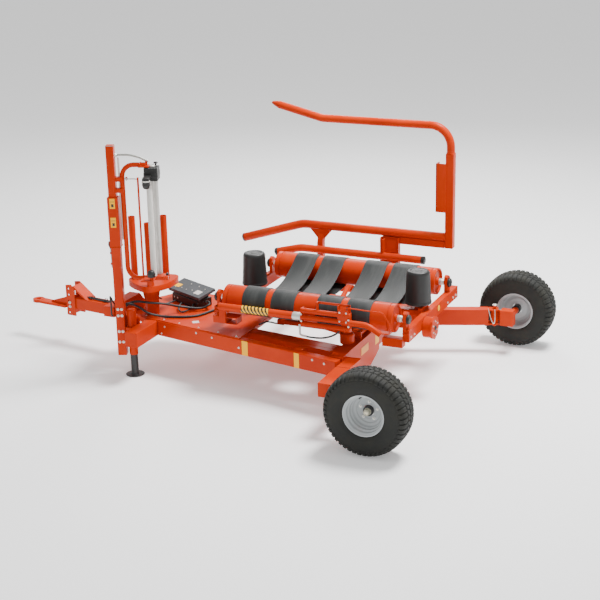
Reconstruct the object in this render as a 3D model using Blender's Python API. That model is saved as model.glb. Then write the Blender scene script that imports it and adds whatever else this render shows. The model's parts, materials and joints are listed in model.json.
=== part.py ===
"""Trailed turntable bale wrapper, parked on its jack.

Metres, +Z up, +X towards the hitch, +Y towards the near (left) wheel.
The origin is on the ground, under the middle of the machine's box.
"""

import math

import bmesh
import bpy
from mathutils import Matrix, Vector

GAP = 0.0003  # between pieces that touch

# Driving dimensions
HALF_TRACK = 1.4135
NEAR_WHEEL_X = -1.6635
FAR_WHEEL_X = -2.0715
WHEEL_RADIUS = 0.355
WHEEL_WIDTH = 0.264
HUB_BACK = 0.075  # the hub's inner face, from the wheel's middle
HALF_LENGTH = WHEEL_RADIUS - FAR_WHEEL_X

# Chassis
FRAME_TOP = 0.48
BEAM_BOTTOM = 0.34
BEAM_THICKNESS = 0.08
BEAM_REAR = (-1.1435, 0.8235)
BEAM_ANGLE = math.radians(-11.1)
BEAM_LENGTH = 1.956
CROSS_REAR_X, CROSS_FRONT_X = -1.155, -1.035
ARM_REAR_X, ARM_FRONT_X = 0.7765, 0.897
DRAWBAR_POINT = (1.3125, 0.2215)
DRAWBAR_ANGLE = math.radians(-8.07)
DRAWBAR_WIDTH = 0.12
DRAWBAR_BOTTOM = 0.37
DRAWBAR_REAR, DRAWBAR_FRONT = -2.3534, 0.56
FAR_BEAM_Y = (-0.66, -0.58)
DECK_THICKNESS = 0.008
DECK_TOP = FRAME_TOP + GAP + DECK_THICKNESS

# Hitch
HITCH_EYE = (HALF_LENGTH - 0.0565, 0.01)
HITCH_EYE_RADIUS, HITCH_EYE_BORE = 0.0565, 0.025
HITCH_EYE_HEIGHT = 0.36

# Mast, jack and film unit, in a frame turned to face the bale
MAST = (1.0265, 0.6535)
MAST_ANGLE = math.radians(200)
MAST_TUBE = 0.080
SLEEVE_SIZE = 0.096
SLEEVE_BOTTOM, SLEEVE_TOP = 1.22, 1.67
MAST_BOTTOM = 0.20
INNER_TUBE = 0.070
INNER_BOTTOM, INNER_TOP = 0.95, 2.13
MAST_BORE = 0.074
MAST_BORE_BOTTOM = 0.90
JACK = (0.9375, 0.6145)
JACK_TUBE_RADIUS, JACK_BORE_RADIUS = 0.0395, 0.0365
JACK_LEG_RADIUS = 0.035
JACK_FOOT_RADIUS = 0.086
FILM_TOP = 1.82
ROLLER_PLACES = ((0.332, -0.035), (0.372, 0.030))
REEL_PLACE = (0.331, -0.165)

# Turntable
TABLE = (-0.7435, -0.11)
ROLLER_SPAN = 0.54
ROLLER_HALF_LENGTH = 0.79
ROLLER_HEIGHT = 0.785
ROLLER_RADIUS = 0.122
SHAFT_RADIUS = 0.02
BAR_OFFSET, BAR_THICKNESS = 0.8558, 0.0592
BELT_THICKNESS = 0.006
BELT_WIDTH = 0.22
BELT_MIDDLES = (-0.485, -0.21, 0.21, 0.485)
UPPER_LEAVE, LOWER_LEAVE = 36, 4.2  # degrees a run tilts where it leaves a roller
CONE_BOTTOM, CONE_TOP = 0.75, 1.05
CONE_BOTTOM_RADIUS, CONE_TOP_RADIUS = 0.1175, 0.100
CUTTER_Y, CUTTER_HEIGHT = 0.608, 0.76

# Tipping frame
TIP_PIVOT = (-1.095, 0.515)
TIP_TUBE_RADIUS = 0.028
TIP_BASE = (-0.985, -0.11, 0.36)
TIP_EYE = (-0.35, -0.11, 0.465)
PIN_RADIUS = 0.01
PIN_GAP = 0.0015  # round a pin that turns in its bore
PIN_BORE = PIN_RADIUS + PIN_GAP

# Loading fork
LOADER_PIVOT = (-1.2065, 0.42)
FORK_Y = -1.41
LOWER_TINE_HEIGHT = 0.9775
UPPER_TINE_HEIGHT = 2.05
TINE_RADIUS = 0.0425
UPPER_TINE_RADIUS = 0.038
POST_X = -1.39
GUARD_TUBE = (-1.30, 0.76)
GUARD_TUBE_RADIUS = 0.0375
LIFT_X = -0.50
LIFT_BASE = (LIFT_X, -0.75, 0.40)
LIFT_EYE = (LIFT_X, -1.1565, 0.55)

# Far wheel's swinging arm
ARM_PIVOT = (-1.16, -0.8455)
ARM_ANGLE = math.radians(200.5)
ARM_LENGTH = 0.82
ARM_BOTTOM, ARM_TOP = 0.27, 0.42
KNUCKLE = (
    ARM_PIVOT[0] + ARM_LENGTH * math.cos(ARM_ANGLE),
    ARM_PIVOT[1] + ARM_LENGTH * math.sin(ARM_ANGLE),
)

ORANGE = (0.83, 0.062, 0.008)
FINISHES = {
    "orange_paint": (ORANGE, 0.38, 0.0),
    "black_rubber": ((0.022, 0.023, 0.021), 0.85, 0.0),
    "black_plastic": ((0.012, 0.012, 0.011), 0.45, 0.0),
    "grey_plastic": ((0.075, 0.078, 0.085), 0.5, 0.0),
    "silver_paint": ((0.52, 0.54, 0.54), 0.35, 0.6),
    "aluminium": ((0.62, 0.61, 0.58), 0.32, 0.9),
    "bright_steel": ((0.6, 0.6, 0.6), 0.2, 1.0),
    "belt_rubber": ((0.07, 0.074, 0.072), 0.7, 0.0),
}

def turned_frame(point, angle):
    """A frame on the ground at the point, turned by the angle about Z."""
    return Matrix.Translation((*point, 0.0)) @ Matrix.Rotation(angle, 4, "Z")


BEAM_FRAME = turned_frame(BEAM_REAR, BEAM_ANGLE)
DRAWBAR_FRAME = turned_frame(DRAWBAR_POINT, DRAWBAR_ANGLE)
MAST_FRAME = turned_frame(MAST, MAST_ANGLE)
ARM_FRAME = turned_frame(ARM_PIVOT, ARM_ANGLE)


def on_mast(place, height):
    """A point given in the mast's frame, as it stands in the machine."""
    return tuple(MAST_FRAME @ Vector((*place, height)))


# Each moving body's pivot, where its parent empty stands
BODIES = {
    "chassis": ((0.0, 0.0, 0.0), None),
    "near_wheel": ((NEAR_WHEEL_X, HALF_TRACK, WHEEL_RADIUS), "chassis"),
    "far_arm": ((*ARM_PIVOT, ARM_TOP), "chassis"),
    "far_knuckle": ((*KNUCKLE, ARM_TOP), "far_arm"),
    "far_wheel": ((FAR_WHEEL_X, -HALF_TRACK, WHEEL_RADIUS), "far_knuckle"),
    "tip_frame": ((TIP_PIVOT[0], TABLE[1], TIP_PIVOT[1]), "chassis"),
    "tip_barrel": (TIP_BASE, "chassis"),
    "tip_rod": (TIP_EYE, "tip_barrel"),
    "turntable": ((*TABLE, 0.576), "tip_frame"),
    "front_cone": ((TABLE[0] + ROLLER_HALF_LENGTH, TABLE[1], CONE_BOTTOM), "turntable"),
    "rear_cone": ((TABLE[0] - ROLLER_HALF_LENGTH, TABLE[1], CONE_BOTTOM), "turntable"),
    "loader": ((LIFT_X, *LOADER_PIVOT), "chassis"),
    "lift_barrel": (LIFT_BASE, "chassis"),
    "lift_rod": (LIFT_EYE, "lift_barrel"),
    "jack": ((*JACK, 0.0), "chassis"),
    "film_mast": ((*MAST, SLEEVE_TOP), "chassis"),
    "film_roller_1": (on_mast(ROLLER_PLACES[0], 1.40), "film_mast"),
    "film_roller_2": (on_mast(ROLLER_PLACES[1], 1.40), "film_mast"),
    "upper_reel_cone": (on_mast(REEL_PLACE, 1.80), "film_mast"),
    "lower_reel_cone": (on_mast(REEL_PLACE, 1.00), "film_mast"),
}


# Shapes: each returns a closed bmesh


def finished(shape):
    bmesh.ops.recalc_face_normals(shape, faces=shape.faces)
    return shape


def box(low, high):
    low, high = Vector(low), Vector(high)
    shape = bmesh.new()
    size = Matrix.Diagonal((*(high - low), 1.0))
    bmesh.ops.create_cube(shape, size=1.0, matrix=Matrix.Translation((low + high) / 2) @ size)
    return finished(shape)


def prism(outline, axis, low, high):
    """The outline, in the two other axes, extruded along this one."""
    shape = bmesh.new()
    at = "xyz".index(axis)

    def corner(point):
        point = list(point)
        point.insert(at, low)
        return shape.verts.new(point)

    face = shape.faces.new([corner(point) for point in outline])
    grown = bmesh.ops.extrude_face_region(shape, geom=[face])["geom"]
    step = Vector([high - low if index == at else 0.0 for index in range(3)])
    moved = [item for item in grown if isinstance(item, bmesh.types.BMVert)]
    bmesh.ops.translate(shape, verts=moved, vec=step)
    return finished(shape)


def rod(start, end, radius, sides=20, end_radius=None):
    start, end = Vector(start), Vector(end)
    along = end - start
    turn = along.to_track_quat("Z", "Y").to_matrix().to_4x4()
    shape = bmesh.new()
    bmesh.ops.create_cone(
        shape,
        cap_ends=True,
        segments=sides,
        radius1=radius,
        radius2=radius if end_radius is None else end_radius,
        depth=along.length,
        matrix=Matrix.Translation((start + end) / 2) @ turn,
    )
    return finished(shape)


def pipe(points, radius, sides=12):
    """A round tube along the points, which lie close together on its bends."""
    points = [Vector(point) for point in points]
    shape = bmesh.new()
    rings = []
    across = None
    for index, point in enumerate(points):
        ahead = points[min(index + 1, len(points) - 1)]
        behind = points[max(index - 1, 0)]
        tangent = (ahead - behind).normalized()
        if across is None:
            across = tangent.orthogonal().normalized()
        across = (across - tangent * across.dot(tangent)).normalized()
        side = tangent.cross(across)
        ring = []
        for step in range(sides):
            angle = 2 * math.pi * step / sides
            offset = across * math.cos(angle) + side * math.sin(angle)
            ring.append(shape.verts.new(point + offset * radius))
        rings.append(ring)
    for first, second in zip(rings, rings[1:]):
        for step in range(sides):
            after = (step + 1) % sides
            shape.faces.new((first[step], first[after], second[after], second[step]))
    shape.faces.new(rings[0])
    shape.faces.new(rings[-1])
    return finished(shape)


def rounded(corners, radius, steps=6):
    """The corner points joined by straight runs, with an arc at each bend."""
    corners = [Vector(corner) for corner in corners]
    points = [corners[0]]
    for before, corner, after in zip(corners, corners[1:], corners[2:]):
        inward = (before - corner).normalized()
        outward = (after - corner).normalized()
        half = inward.angle(outward) / 2
        reach = radius / math.tan(half)
        centre = corner + (inward + outward).normalized() * radius / math.sin(half)
        first = corner + inward * reach - centre
        last = corner + outward * reach - centre
        for step in range(steps + 1):
            points.append(centre + first.slerp(last, step / steps).normalized() * radius)
    points.append(corners[-1])
    return points


def turned(profile, centre, direction, sides=40):
    """The profile's (radius, height) points turned about the axis."""
    turn = Vector(direction).to_track_quat("Z", "Y").to_matrix().to_4x4()
    place = Matrix.Translation(centre) @ turn
    shape = bmesh.new()
    rings = []
    for radius, height in profile:
        if radius == 0:
            rings.append([shape.verts.new(place @ Vector((0, 0, height)))] * sides)
            continue
        ring = []
        for step in range(sides):
            angle = 2 * math.pi * step / sides
            spot = Vector((radius * math.cos(angle), radius * math.sin(angle), height))
            ring.append(shape.verts.new(place @ spot))
        rings.append(ring)
    open_ended = profile[0][0] == 0
    pairs = list(zip(rings, rings[1:])) + ([] if open_ended else [(rings[-1], rings[0])])
    for first, second in pairs:
        for step in range(sides):
            after = (step + 1) % sides
            loop = [first[step], first[after], second[after], second[step]]
            shape.faces.new(list(dict.fromkeys(loop)))
    return finished(shape)


# Objects


def finish(name):
    material = bpy.data.materials.get(name)
    if material is None:
        colour, roughness, metallic = FINISHES[name]
        material = bpy.data.materials.new(name)
        material.use_nodes = True
        shader = material.node_tree.nodes["Principled BSDF"]
        shader.inputs["Base Color"].default_value = (*colour, 1.0)
        shader.inputs["Roughness"].default_value = roughness
        shader.inputs["Metallic"].default_value = metallic
        material.diffuse_color = (*colour, 1.0)
    return material


def placed(name, shape, body, frame):
    """An object for the shape, under its body's empty."""
    pivot = Vector(BODIES[body][0])
    bmesh.ops.transform(shape, matrix=Matrix.Translation(-pivot) @ frame, verts=shape.verts)
    mesh = bpy.data.meshes.new(name)
    shape.to_mesh(mesh)
    shape.free()
    obj = bpy.data.objects.new(name, mesh)
    obj.parent = bpy.data.objects[body + "_pivot"]
    bpy.context.scene.collection.objects.link(obj)
    return obj


def node(name, body, look, shapes, cuts=(), frame=Matrix()):
    """One sub-part: its first shape, with the others joined on and the cuts taken out."""
    obj = placed(name, shapes[0], body, frame)
    obj.data.materials.append(finish(look))
    obj.data.shade_smooth()
    obj.data.set_sharp_from_angle(angle=math.radians(35))
    extras = [(shape, "UNION") for shape in shapes[1:]]
    extras += [(shape, "DIFFERENCE") for shape in cuts]
    for index, (shape, operation) in enumerate(extras):
        helper = placed(f"{name}_{operation.lower()}_{index}", shape, body, frame)
        helper.hide_render = True
        helper.display_type = "WIRE"
        modifier = obj.modifiers.new(operation.title(), "BOOLEAN")
        modifier.operation = operation
        modifier.object = helper
    return obj


def clear_scene():
    for obj in list(bpy.data.objects):
        bpy.data.objects.remove(obj, do_unlink=True)


def add_pivots():
    for body, (pivot, parent) in BODIES.items():
        empty = bpy.data.objects.new(body + "_pivot", None)
        bpy.context.scene.collection.objects.link(empty)
        empty.location = pivot
        if parent:
            empty.parent = bpy.data.objects[parent + "_pivot"]
            empty.location = Vector(pivot) - Vector(BODIES[parent][0])
    bpy.context.view_layer.update()


# Chassis


def add_frame():
    side = box((0.0045, -BEAM_THICKNESS, BEAM_BOTTOM), (BEAM_LENGTH, 0.0, FRAME_TOP))
    node("side_beam", "chassis", "orange_paint", [side], frame=BEAM_FRAME)

    outline = [
        (0.72, FRAME_TOP), (0.72, 0.345), (0.678, 0.345), (0.056, 0.18), (-0.15, 0.26), (-0.15, 0.30),
        (-0.76, 0.30), (-0.76, FRAME_TOP),
    ]
    member = prism(outline, "x", CROSS_REAR_X, CROSS_FRONT_X)
    x, z = TIP_PIVOT
    hinge = [box((x - 0.04, y, 0.47), (x + 0.04, y + 0.02, z + 0.03)) for y in (-0.46, 0.22)]
    pin_hole = rod((x, -0.5, z), (x, 0.3, z), 0.015 + PIN_GAP, 16)
    clevis = [
        box((CROSS_FRONT_X - 0.01, y, 0.325), (TIP_BASE[0] + 0.03, y + 0.012, 0.395))
        for y in (TIP_BASE[1] - 0.043, TIP_BASE[1] + 0.031)
    ]
    clevis_pin = rod(
        (TIP_BASE[0], TIP_BASE[1] - 0.04, TIP_BASE[2]), (TIP_BASE[0], TIP_BASE[1] + 0.04, TIP_BASE[2]),
        PIN_RADIUS, 12,
    )
    node(
        "rear_cross_member", "chassis", "orange_paint", [member, *hinge, *clevis, clevis_pin], cuts=[pin_hole]
    )

    arm = box((ARM_REAR_X, 0.298, BEAM_BOTTOM), (ARM_FRONT_X, 0.8135, FRAME_TOP))
    near_lug = box((ARM_FRONT_X - 0.01, 0.662, 0.35), (0.976, 0.674, 0.47))
    far_lug = box((ARM_FRONT_X - 0.01, 0.555, 0.35), (1.078, 0.567, 0.54))
    node("front_cross_arm", "chassis", "orange_paint", [arm, near_lug, far_lug])

    low, high = FAR_BEAM_Y
    beam = box((CROSS_FRONT_X + GAP, low, BEAM_BOTTOM), (0.55, high, FRAME_TOP))
    member = box((0.45, -0.62, BEAM_BOTTOM), (0.55, 0.205, FRAME_TOP))
    x, y, z = LIFT_BASE
    lugs = [
        box((lug_x, y - 0.03, z - 0.035), (lug_x + 0.012, low + 0.01, z + 0.035))
        for lug_x in (x - 0.043, x + 0.031)
    ]
    pin = rod((x - 0.04, y, z), (x + 0.04, y, z), PIN_RADIUS, 12)
    node("far_side_frame", "chassis", "orange_paint", [beam, member, *lugs, pin])

    y, z = LOADER_PIVOT
    for name, low_x in (("rear_outrigger", -1.03), ("front_outrigger", 0.035)):
        outline = [
            (low - GAP, 0.345), (low - GAP, 0.46), (y - 0.01, 0.462), (y - 0.04, 0.44), (y - 0.04, 0.40),
            (y - 0.01, 0.378),
        ]
        hole = rod((low_x - 0.01, y, z), (low_x + 0.075, y, z), 0.02 + PIN_GAP, 16)
        node(name, "chassis", "orange_paint", [prism(outline, "x", low_x, low_x + 0.065)], cuts=[hole])

    x, y = ARM_PIVOT
    jaws = [
        box((x - 0.07, y - 0.075, z), (CROSS_FRONT_X - 0.005, -0.765, z + 0.015))
        for z in (ARM_BOTTOM - 0.02, ARM_TOP + 0.005)
    ]
    back = box((CROSS_REAR_X, -0.792, ARM_BOTTOM - 0.02), (CROSS_FRONT_X, -0.7603, 0.46))
    pin = rod((x, y, ARM_BOTTOM - 0.04), (x, y, ARM_TOP + 0.04), 0.018, 16)
    node("arm_clevis", "chassis", "orange_paint", [back, *jaws, pin])

    outline = [
        (-0.1435, 0.618), (0.77, 0.4385), (ARM_FRONT_X, 0.441), (1.25, 0.225), (1.25, 0.11), (0.98, -0.36),
        (0.45, -0.42), (-0.1435, -0.42),
    ]
    plate = prism(outline, "z", FRAME_TOP + GAP, DECK_TOP)
    node("deck_plate", "chassis", "orange_paint", [plate])


def add_near_axle():
    beam = box((-1.28, 0.60, 0.33), (CROSS_REAR_X - GAP, 1.235, 0.45))
    outline = [
        (-1.20, 0.44), (-1.30, 0.43), (-1.60, 0.405), (-1.70, 0.39), (-1.71, 0.32), (-1.60, 0.30),
        (-1.20, 0.34),
    ]
    arm = prism(outline, "y", 1.15, 1.234)
    stub = rod(
        (NEAR_WHEEL_X, 1.19, WHEEL_RADIUS), (NEAR_WHEEL_X, HALF_TRACK - HUB_BACK - GAP, WHEEL_RADIUS), 0.03
    )
    node("near_axle", "chassis", "orange_paint", [beam, arm, stub])


def add_drawbar():
    bar = box((DRAWBAR_REAR, -DRAWBAR_WIDTH, DRAWBAR_BOTTOM), (DRAWBAR_FRONT, 0.0, FRAME_TOP))
    node("drawbar", "chassis", "orange_paint", [bar], frame=DRAWBAR_FRAME)

    outline = [(0.54, 0.30), (0.645, 0.30), (0.645, 0.60), (0.585, 0.61), (0.54, 0.57)]
    cheeks = [prism(outline, "y", y, y + 0.012) for y in (-DRAWBAR_WIDTH - 0.012 - GAP, GAP)]
    back = box((DRAWBAR_FRONT + GAP, -DRAWBAR_WIDTH - 0.004, 0.32), (DRAWBAR_FRONT + 0.012, 0.004, 0.50))
    brace = prism(
        [(0.39, FRAME_TOP + GAP), (0.418, FRAME_TOP + GAP), (0.578, 0.588), (0.56, 0.60)], "y",
        -DRAWBAR_WIDTH - 0.004, 0.004,
    )
    holes = [rod((0.615, -0.2, z), (0.615, 0.1, z), 0.011, 8) for z in (0.325, 0.385, 0.445, 0.505, 0.565)]
    node("hitch_bracket", "chassis", "orange_paint", [back, *cheeks, brace], cuts=holes, frame=DRAWBAR_FRAME)

    middle = -DRAWBAR_WIDTH / 2
    eye = DRAWBAR_FRAME.inverted() @ Vector((*HITCH_EYE, 0.0))
    web = prism(
        [(0.572, 0.375), (0.572, 0.475), (0.64, 0.475), (0.90, 0.385), (0.90, 0.362)], "y", middle - 0.008,
        middle + 0.008,
    )
    block = box((0.575, middle - 0.0597, 0.372), (0.635, middle + 0.0597, 0.44))
    nose = prism(
        [(0.70, middle - 0.04), (0.70, middle + 0.04), (eye.x, eye.y + 0.05), (eye.x, eye.y - 0.05)], "z",
        0.348, 0.372,
    )
    ring = rod(
        (eye.x, eye.y, HITCH_EYE_HEIGHT - 0.015), (eye.x, eye.y, HITCH_EYE_HEIGHT + 0.015), HITCH_EYE_RADIUS,
        32,
    )
    bore = rod((eye.x, eye.y, 0.3), (eye.x, eye.y, 0.45), HITCH_EYE_BORE, 24)
    node(
        "hitch_tongue", "chassis", "orange_paint", [web, block, nose, ring], cuts=[bore], frame=DRAWBAR_FRAME
    )


def square(half, bottom, top):
    return box((-half, -half, bottom), (half, half, top))


def add_mast():
    tube = square(MAST_TUBE / 2, MAST_BOTTOM, SLEEVE_BOTTOM + 0.02)
    sleeve = square(SLEEVE_SIZE / 2, SLEEVE_BOTTOM, SLEEVE_TOP)
    bore = square(MAST_BORE / 2, MAST_BORE_BOTTOM, SLEEVE_TOP + 0.1)
    node("mast", "chassis", "orange_paint", [tube, sleeve], cuts=[bore], frame=MAST_FRAME)

    outline = [
        (0.68, 0.645), (0.68, 0.55), (0.30, 0.55), (0.245, DECK_TOP + GAP), (0.14, DECK_TOP + GAP),
        (0.14, 0.56), (0.22, 0.645),
    ]
    bracket = prism(outline, "x", 1.0785, 1.19)
    hollow = prism([(0.61, 0.60), (0.61, 0.53), (0.34, 0.53), (0.34, 0.60)], "x", 1.09, 1.178)
    node("mast_bracket", "chassis", "orange_paint", [bracket], cuts=[hollow])

    x, y = JACK
    tube = rod((x, y, 0.20), (x, y, 0.60), JACK_TUBE_RADIUS, 24)
    bore = rod((x, y, 0.1), (x, y, 0.59), JACK_BORE_RADIUS, 24)
    node("jack_tube", "chassis", "orange_paint", [tube], cuts=[bore])

    foot = rod((x, y, 0), (x, y, 0.012), JACK_FOOT_RADIUS, 32)
    leg = rod((x, y, 0.006), (x, y, 0.36), JACK_LEG_RADIUS, 24)
    node("jack_leg", "jack", "black_plastic", [foot, leg])


def add_film_unit():
    half = INNER_TUBE / 2
    tube = square(half, INNER_BOTTOM, INNER_TOP)
    node("film_mast_tube", "film_mast", "orange_paint", [tube], frame=MAST_FRAME)

    centre = [(0.45, 0.0, 0.925), (0.092, 0.0, 0.925), (0.092, 0.0, 1.955), (0.31, 0.0, 1.955)]
    bow = pipe(rounded(centre, 0.105, 4), 0.021, 10)
    clamps = [box((half + GAP, -0.031, z), (0.101, 0.031, z + 0.037)) for z in (1.81, 1.71)]
    foot_plate = box((0.30, -0.055, 0.933), (0.42, 0.055, 0.955))
    node("film_bow", "film_mast", "orange_paint", [bow, *clamps, foot_plate], frame=MAST_FRAME)

    x, y = REEL_PLACE
    stay = box((0.236, y - 0.02, 0.943), (0.35, -0.0553, 0.954))
    low_stud = rod((x, y, 0.95), (x, y, 0.985), 0.016)
    slim = rod((0.243, -0.075, 0.95), (0.243, -0.075, 1.86), 0.009, 10)
    node("reel_bracket", "film_mast", "orange_paint", [stay, low_stud, slim], frame=MAST_FRAME)

    case = box((0.293, -0.055, FILM_TOP + GAP), (0.412, 0.075, 1.9337))
    reel_arm = box((0.30, y - 0.02, 1.855), (0.36, -0.04, 1.875))
    high_stud = rod((x, y, 1.84), (x, y, 1.86), 0.016)
    node("film_gearbox", "film_mast", "black_plastic", [case, reel_arm, high_stud], frame=MAST_FRAME)

    for name, (roller_x, roller_y) in zip(("film_roller_1", "film_roller_2"), ROLLER_PLACES):
        roller = rod((roller_x, roller_y, 0.9553), (roller_x, roller_y, FILM_TOP), 0.0275, 16)
        node(name, name, "aluminium", [roller], frame=MAST_FRAME)

    upper = [(0.0, 1.8397), (0.036, 1.8397), (0.036, 1.81), (0.026, 1.775), (0.0, 1.775)]
    lower = [(0.0, 0.9853), (0.036, 0.9853), (0.036, 1.015), (0.026, 1.05), (0.0, 1.05)]
    for name, profile in (("upper_reel_cone", upper), ("lower_reel_cone", lower)):
        cone = turned(profile, (x, y, 0), (0, 0, 1), 24)
        node(name, name, "black_plastic", [cone], frame=MAST_FRAME)


def add_reel_stand():
    posts = ((1.09, 0.27), (0.837, 0.42), (0.834, 0.14))
    middle = (0.9203, 0.2767)
    low, high = 0.78, 0.80
    outline = [
        (1.135, 0.225), (1.14, 0.30), (1.09, 0.36), (1.0, 0.42), (0.90, 0.465), (0.83, 0.46), (0.775, 0.39),
        (0.735, 0.29), (0.73, 0.16), (0.75, 0.06), (0.80, 0.03), (0.90, 0.055), (1.06, 0.145),
    ]
    plate = prism(outline, "z", low, high)
    profile = [
        (0.0, DECK_TOP + GAP), (0.064, DECK_TOP + GAP), (0.066, 0.62), (0.08, 0.70), (0.125, low + 0.004),
        (0.0, low + 0.004),
    ]
    pedestal = turned(profile, (*middle, 0.0), (0, 0, 1), 24)
    tubes = [rod((x, y, high - 0.005), (x, y, 1.39), 0.032, 16) for x, y in posts]
    node("reel_stand", "chassis", "orange_paint", [plate, pedestal, *tubes])


VALVE_FRAME = turned_frame((0.715, -0.10), math.radians(155.6))


def add_valves():
    block = box((-0.19, -0.085, DECK_TOP + GAP), (0.19, 0.095, 0.57))
    node("valve_block", "chassis", "black_plastic", [block], frame=VALVE_FRAME)
    lid = prism([(-0.10, 0.60), (0.10, 0.65), (0.10, 0.66), (-0.10, 0.61)], "x", -0.24, 0.24)
    foot = prism([(-0.07, 0.5703), (0.08, 0.5703), (0.08, 0.65), (-0.07, 0.612)], "x", -0.17, 0.17)
    node("valve_cover", "chassis", "grey_plastic", [foot, lid], frame=VALVE_FRAME)


HOSE_RADIUS = 0.011
HOSES = {
    "upper_hose": [
        (1.0715, 0.50, 0.61), (1.062, 0.50, 0.61), (1.03, 0.465, 0.632), (0.97, 0.43, 0.638),
        (0.866, 0.415, 0.634), (0.757, 0.319, 0.605), (0.672, 0.20, 0.552), (0.529, 0.085, 0.516),
        (0.462, 0.035, 0.54), (0.4836, -0.017, 0.542), (0.5068, -0.0385, 0.54), (0.5289, -0.0485, 0.54),
    ],
    "lower_hose": [
        (1.0715, 0.57, 0.62), (1.062, 0.57, 0.62), (1.03, 0.56, 0.648), (0.985, 0.535, 0.645),
        (0.946, 0.46, 0.594), (0.862, 0.43, 0.536), (0.749, 0.37, 0.503), (0.574, 0.31, 0.4998),
        (0.466, 0.223, 0.4998), (0.41, 0.064, 0.4998), (0.38, -0.06, 0.4998),
    ],
}


def smooth_route(points, steps=3):
    """Points along a Catmull-Rom curve through the route."""
    points = [Vector(point) for point in points]
    padded = [2 * points[0] - points[1], *points, 2 * points[-1] - points[-2]]
    route = []
    for before, start, end, after in zip(padded, padded[1:], padded[2:], padded[3:]):
        for step in range(steps):
            t = step / steps
            bend = 2 * before - 5 * start + 4 * end - after
            twist = 3 * start - before - 3 * end + after
            route.append((2 * start + (end - before) * t + bend * t**2 + twist * t**3) / 2)
    return [*route, points[-1]]


def add_hoses():
    for name, points in HOSES.items():
        node(name, "chassis", "black_rubber", [pipe(smooth_route(points, 2), HOSE_RADIUS, 8)])


# Wheels and the far wheel's arm


def add_wheel(side, body, centre, outward):
    """The side's tyre and rim. outward is +1 where the wheel faces +Y."""
    half = WHEEL_WIDTH / 2
    shoulder = WHEEL_RADIUS - 0.028
    tyre = [
        (0.1665, -0.10), (0.185, -0.118), (0.25, -half), (shoulder, -half + 0.015),
        (WHEEL_RADIUS, -half + 0.05),
    ]
    tyre += [(radius, -height) for radius, height in reversed(tyre)]
    node(side + "_tyre", body, "black_rubber", [turned(tyre, centre, (0, 1, 0), 40)])
    face = [
        (0.0, 0.055), (0.056, 0.055), (0.06, -0.012), (0.085, -0.012), (0.115, -0.005), (0.142, 0.03),
        (0.150, 0.09),
    ]
    flange = [(0.158, 0.116), (0.174, 0.116), (0.174, 0.111), (0.1655, 0.1003)]
    back = [
        (0.150, -0.09), (0.145, -0.05), (0.135, 0.0), (0.10, -0.022), (0.05, -0.028), (0.05, -HUB_BACK),
        (0.0, -HUB_BACK),
    ]
    rim = face + flange + [(radius, -height) for radius, height in reversed(flange)] + back
    node(side + "_rim", body, "silver_paint", [turned(rim, centre, (0, outward, 0), 28)])


def add_wheels():
    add_wheel("near", "near_wheel", (NEAR_WHEEL_X, HALF_TRACK, WHEEL_RADIUS), 1)
    add_wheel("far", "far_wheel", (FAR_WHEEL_X, -HALF_TRACK, WHEEL_RADIUS), -1)


def add_far_arm():
    main = box((0.02, -0.05, ARM_BOTTOM), (ARM_LENGTH - 0.06, 0.05, ARM_TOP))
    root = rod((0, 0, ARM_BOTTOM), (0, 0, ARM_TOP), 0.052, 20)
    fork = [
        box((ARM_LENGTH - 0.09, -0.045, z), (ARM_LENGTH + 0.035, 0.045, z + 0.012))
        for z in (ARM_BOTTOM + 0.001, ARM_TOP - 0.013)
    ]
    bore = rod((0, 0, 0.2), (0, 0, 0.5), 0.018 + PIN_GAP, 16)
    tip_bore = rod((ARM_LENGTH, 0, 0.2), (ARM_LENGTH, 0, 0.5), 0.0155 + PIN_GAP, 16)
    node("swing_arm", "far_arm", "orange_paint", [main, root, *fork], cuts=[bore, tip_bore], frame=ARM_FRAME)

    x, y = KNUCKLE
    barrel = rod((x, y, ARM_BOTTOM + 0.018), (x, y, ARM_TOP - 0.018), 0.036, 20)
    pin = rod((x, y, ARM_BOTTOM - 0.02), (x, y, ARM_TOP + 0.03), 0.0155, 16)
    outline = [(x + 0.005, 0.30), (x + 0.005, 0.40), (FAR_WHEEL_X - 0.03, 0.40), (FAR_WHEEL_X - 0.045, 0.31)]
    cheek = prism(outline, "y", y - 0.035, y - 0.015)
    stub = rod(
        (FAR_WHEEL_X, y - 0.02, WHEEL_RADIUS), (FAR_WHEEL_X, -HALF_TRACK + HUB_BACK + GAP, WHEEL_RADIUS), 0.03
    )
    node("wheel_knuckle", "far_knuckle", "orange_paint", [barrel, cheek, stub, pin])


# Tipping frame and turntable


def cylinder(name, body, base, eye, radii, reach, pin_axis):
    """A hydraulic cylinder from its base pin to its rod's eye. reach is where the barrel ends."""
    base, eye, pin_axis = Vector(base), Vector(eye), Vector(pin_axis)
    along = (eye - base).normalized()
    barrel_radius, rod_radius = radii
    half = pin_axis * 0.028
    barrel = rod(base + along * 0.02, base + along * reach, barrel_radius, 16)
    base_boss = rod(base - half, base + half, 0.024, 16)
    base_bore = rod(base - 2 * half, base + 2 * half, PIN_BORE, 12)
    bore = rod(base + along * (reach / 3), base + along * (reach + 0.1), rod_radius + GAP, 12)
    node(name + "_barrel", body + "_barrel", "orange_paint", [barrel, base_boss], cuts=[base_bore, bore])
    shaft = rod(base + along * (reach / 3 + 0.01), eye, rod_radius, 12)
    eye_half = pin_axis * 0.018
    eye_boss = rod(eye - eye_half, eye + eye_half, 0.02, 16)
    node(name + "_rod", body + "_rod", "bright_steel", [shaft, eye_boss])


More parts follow.
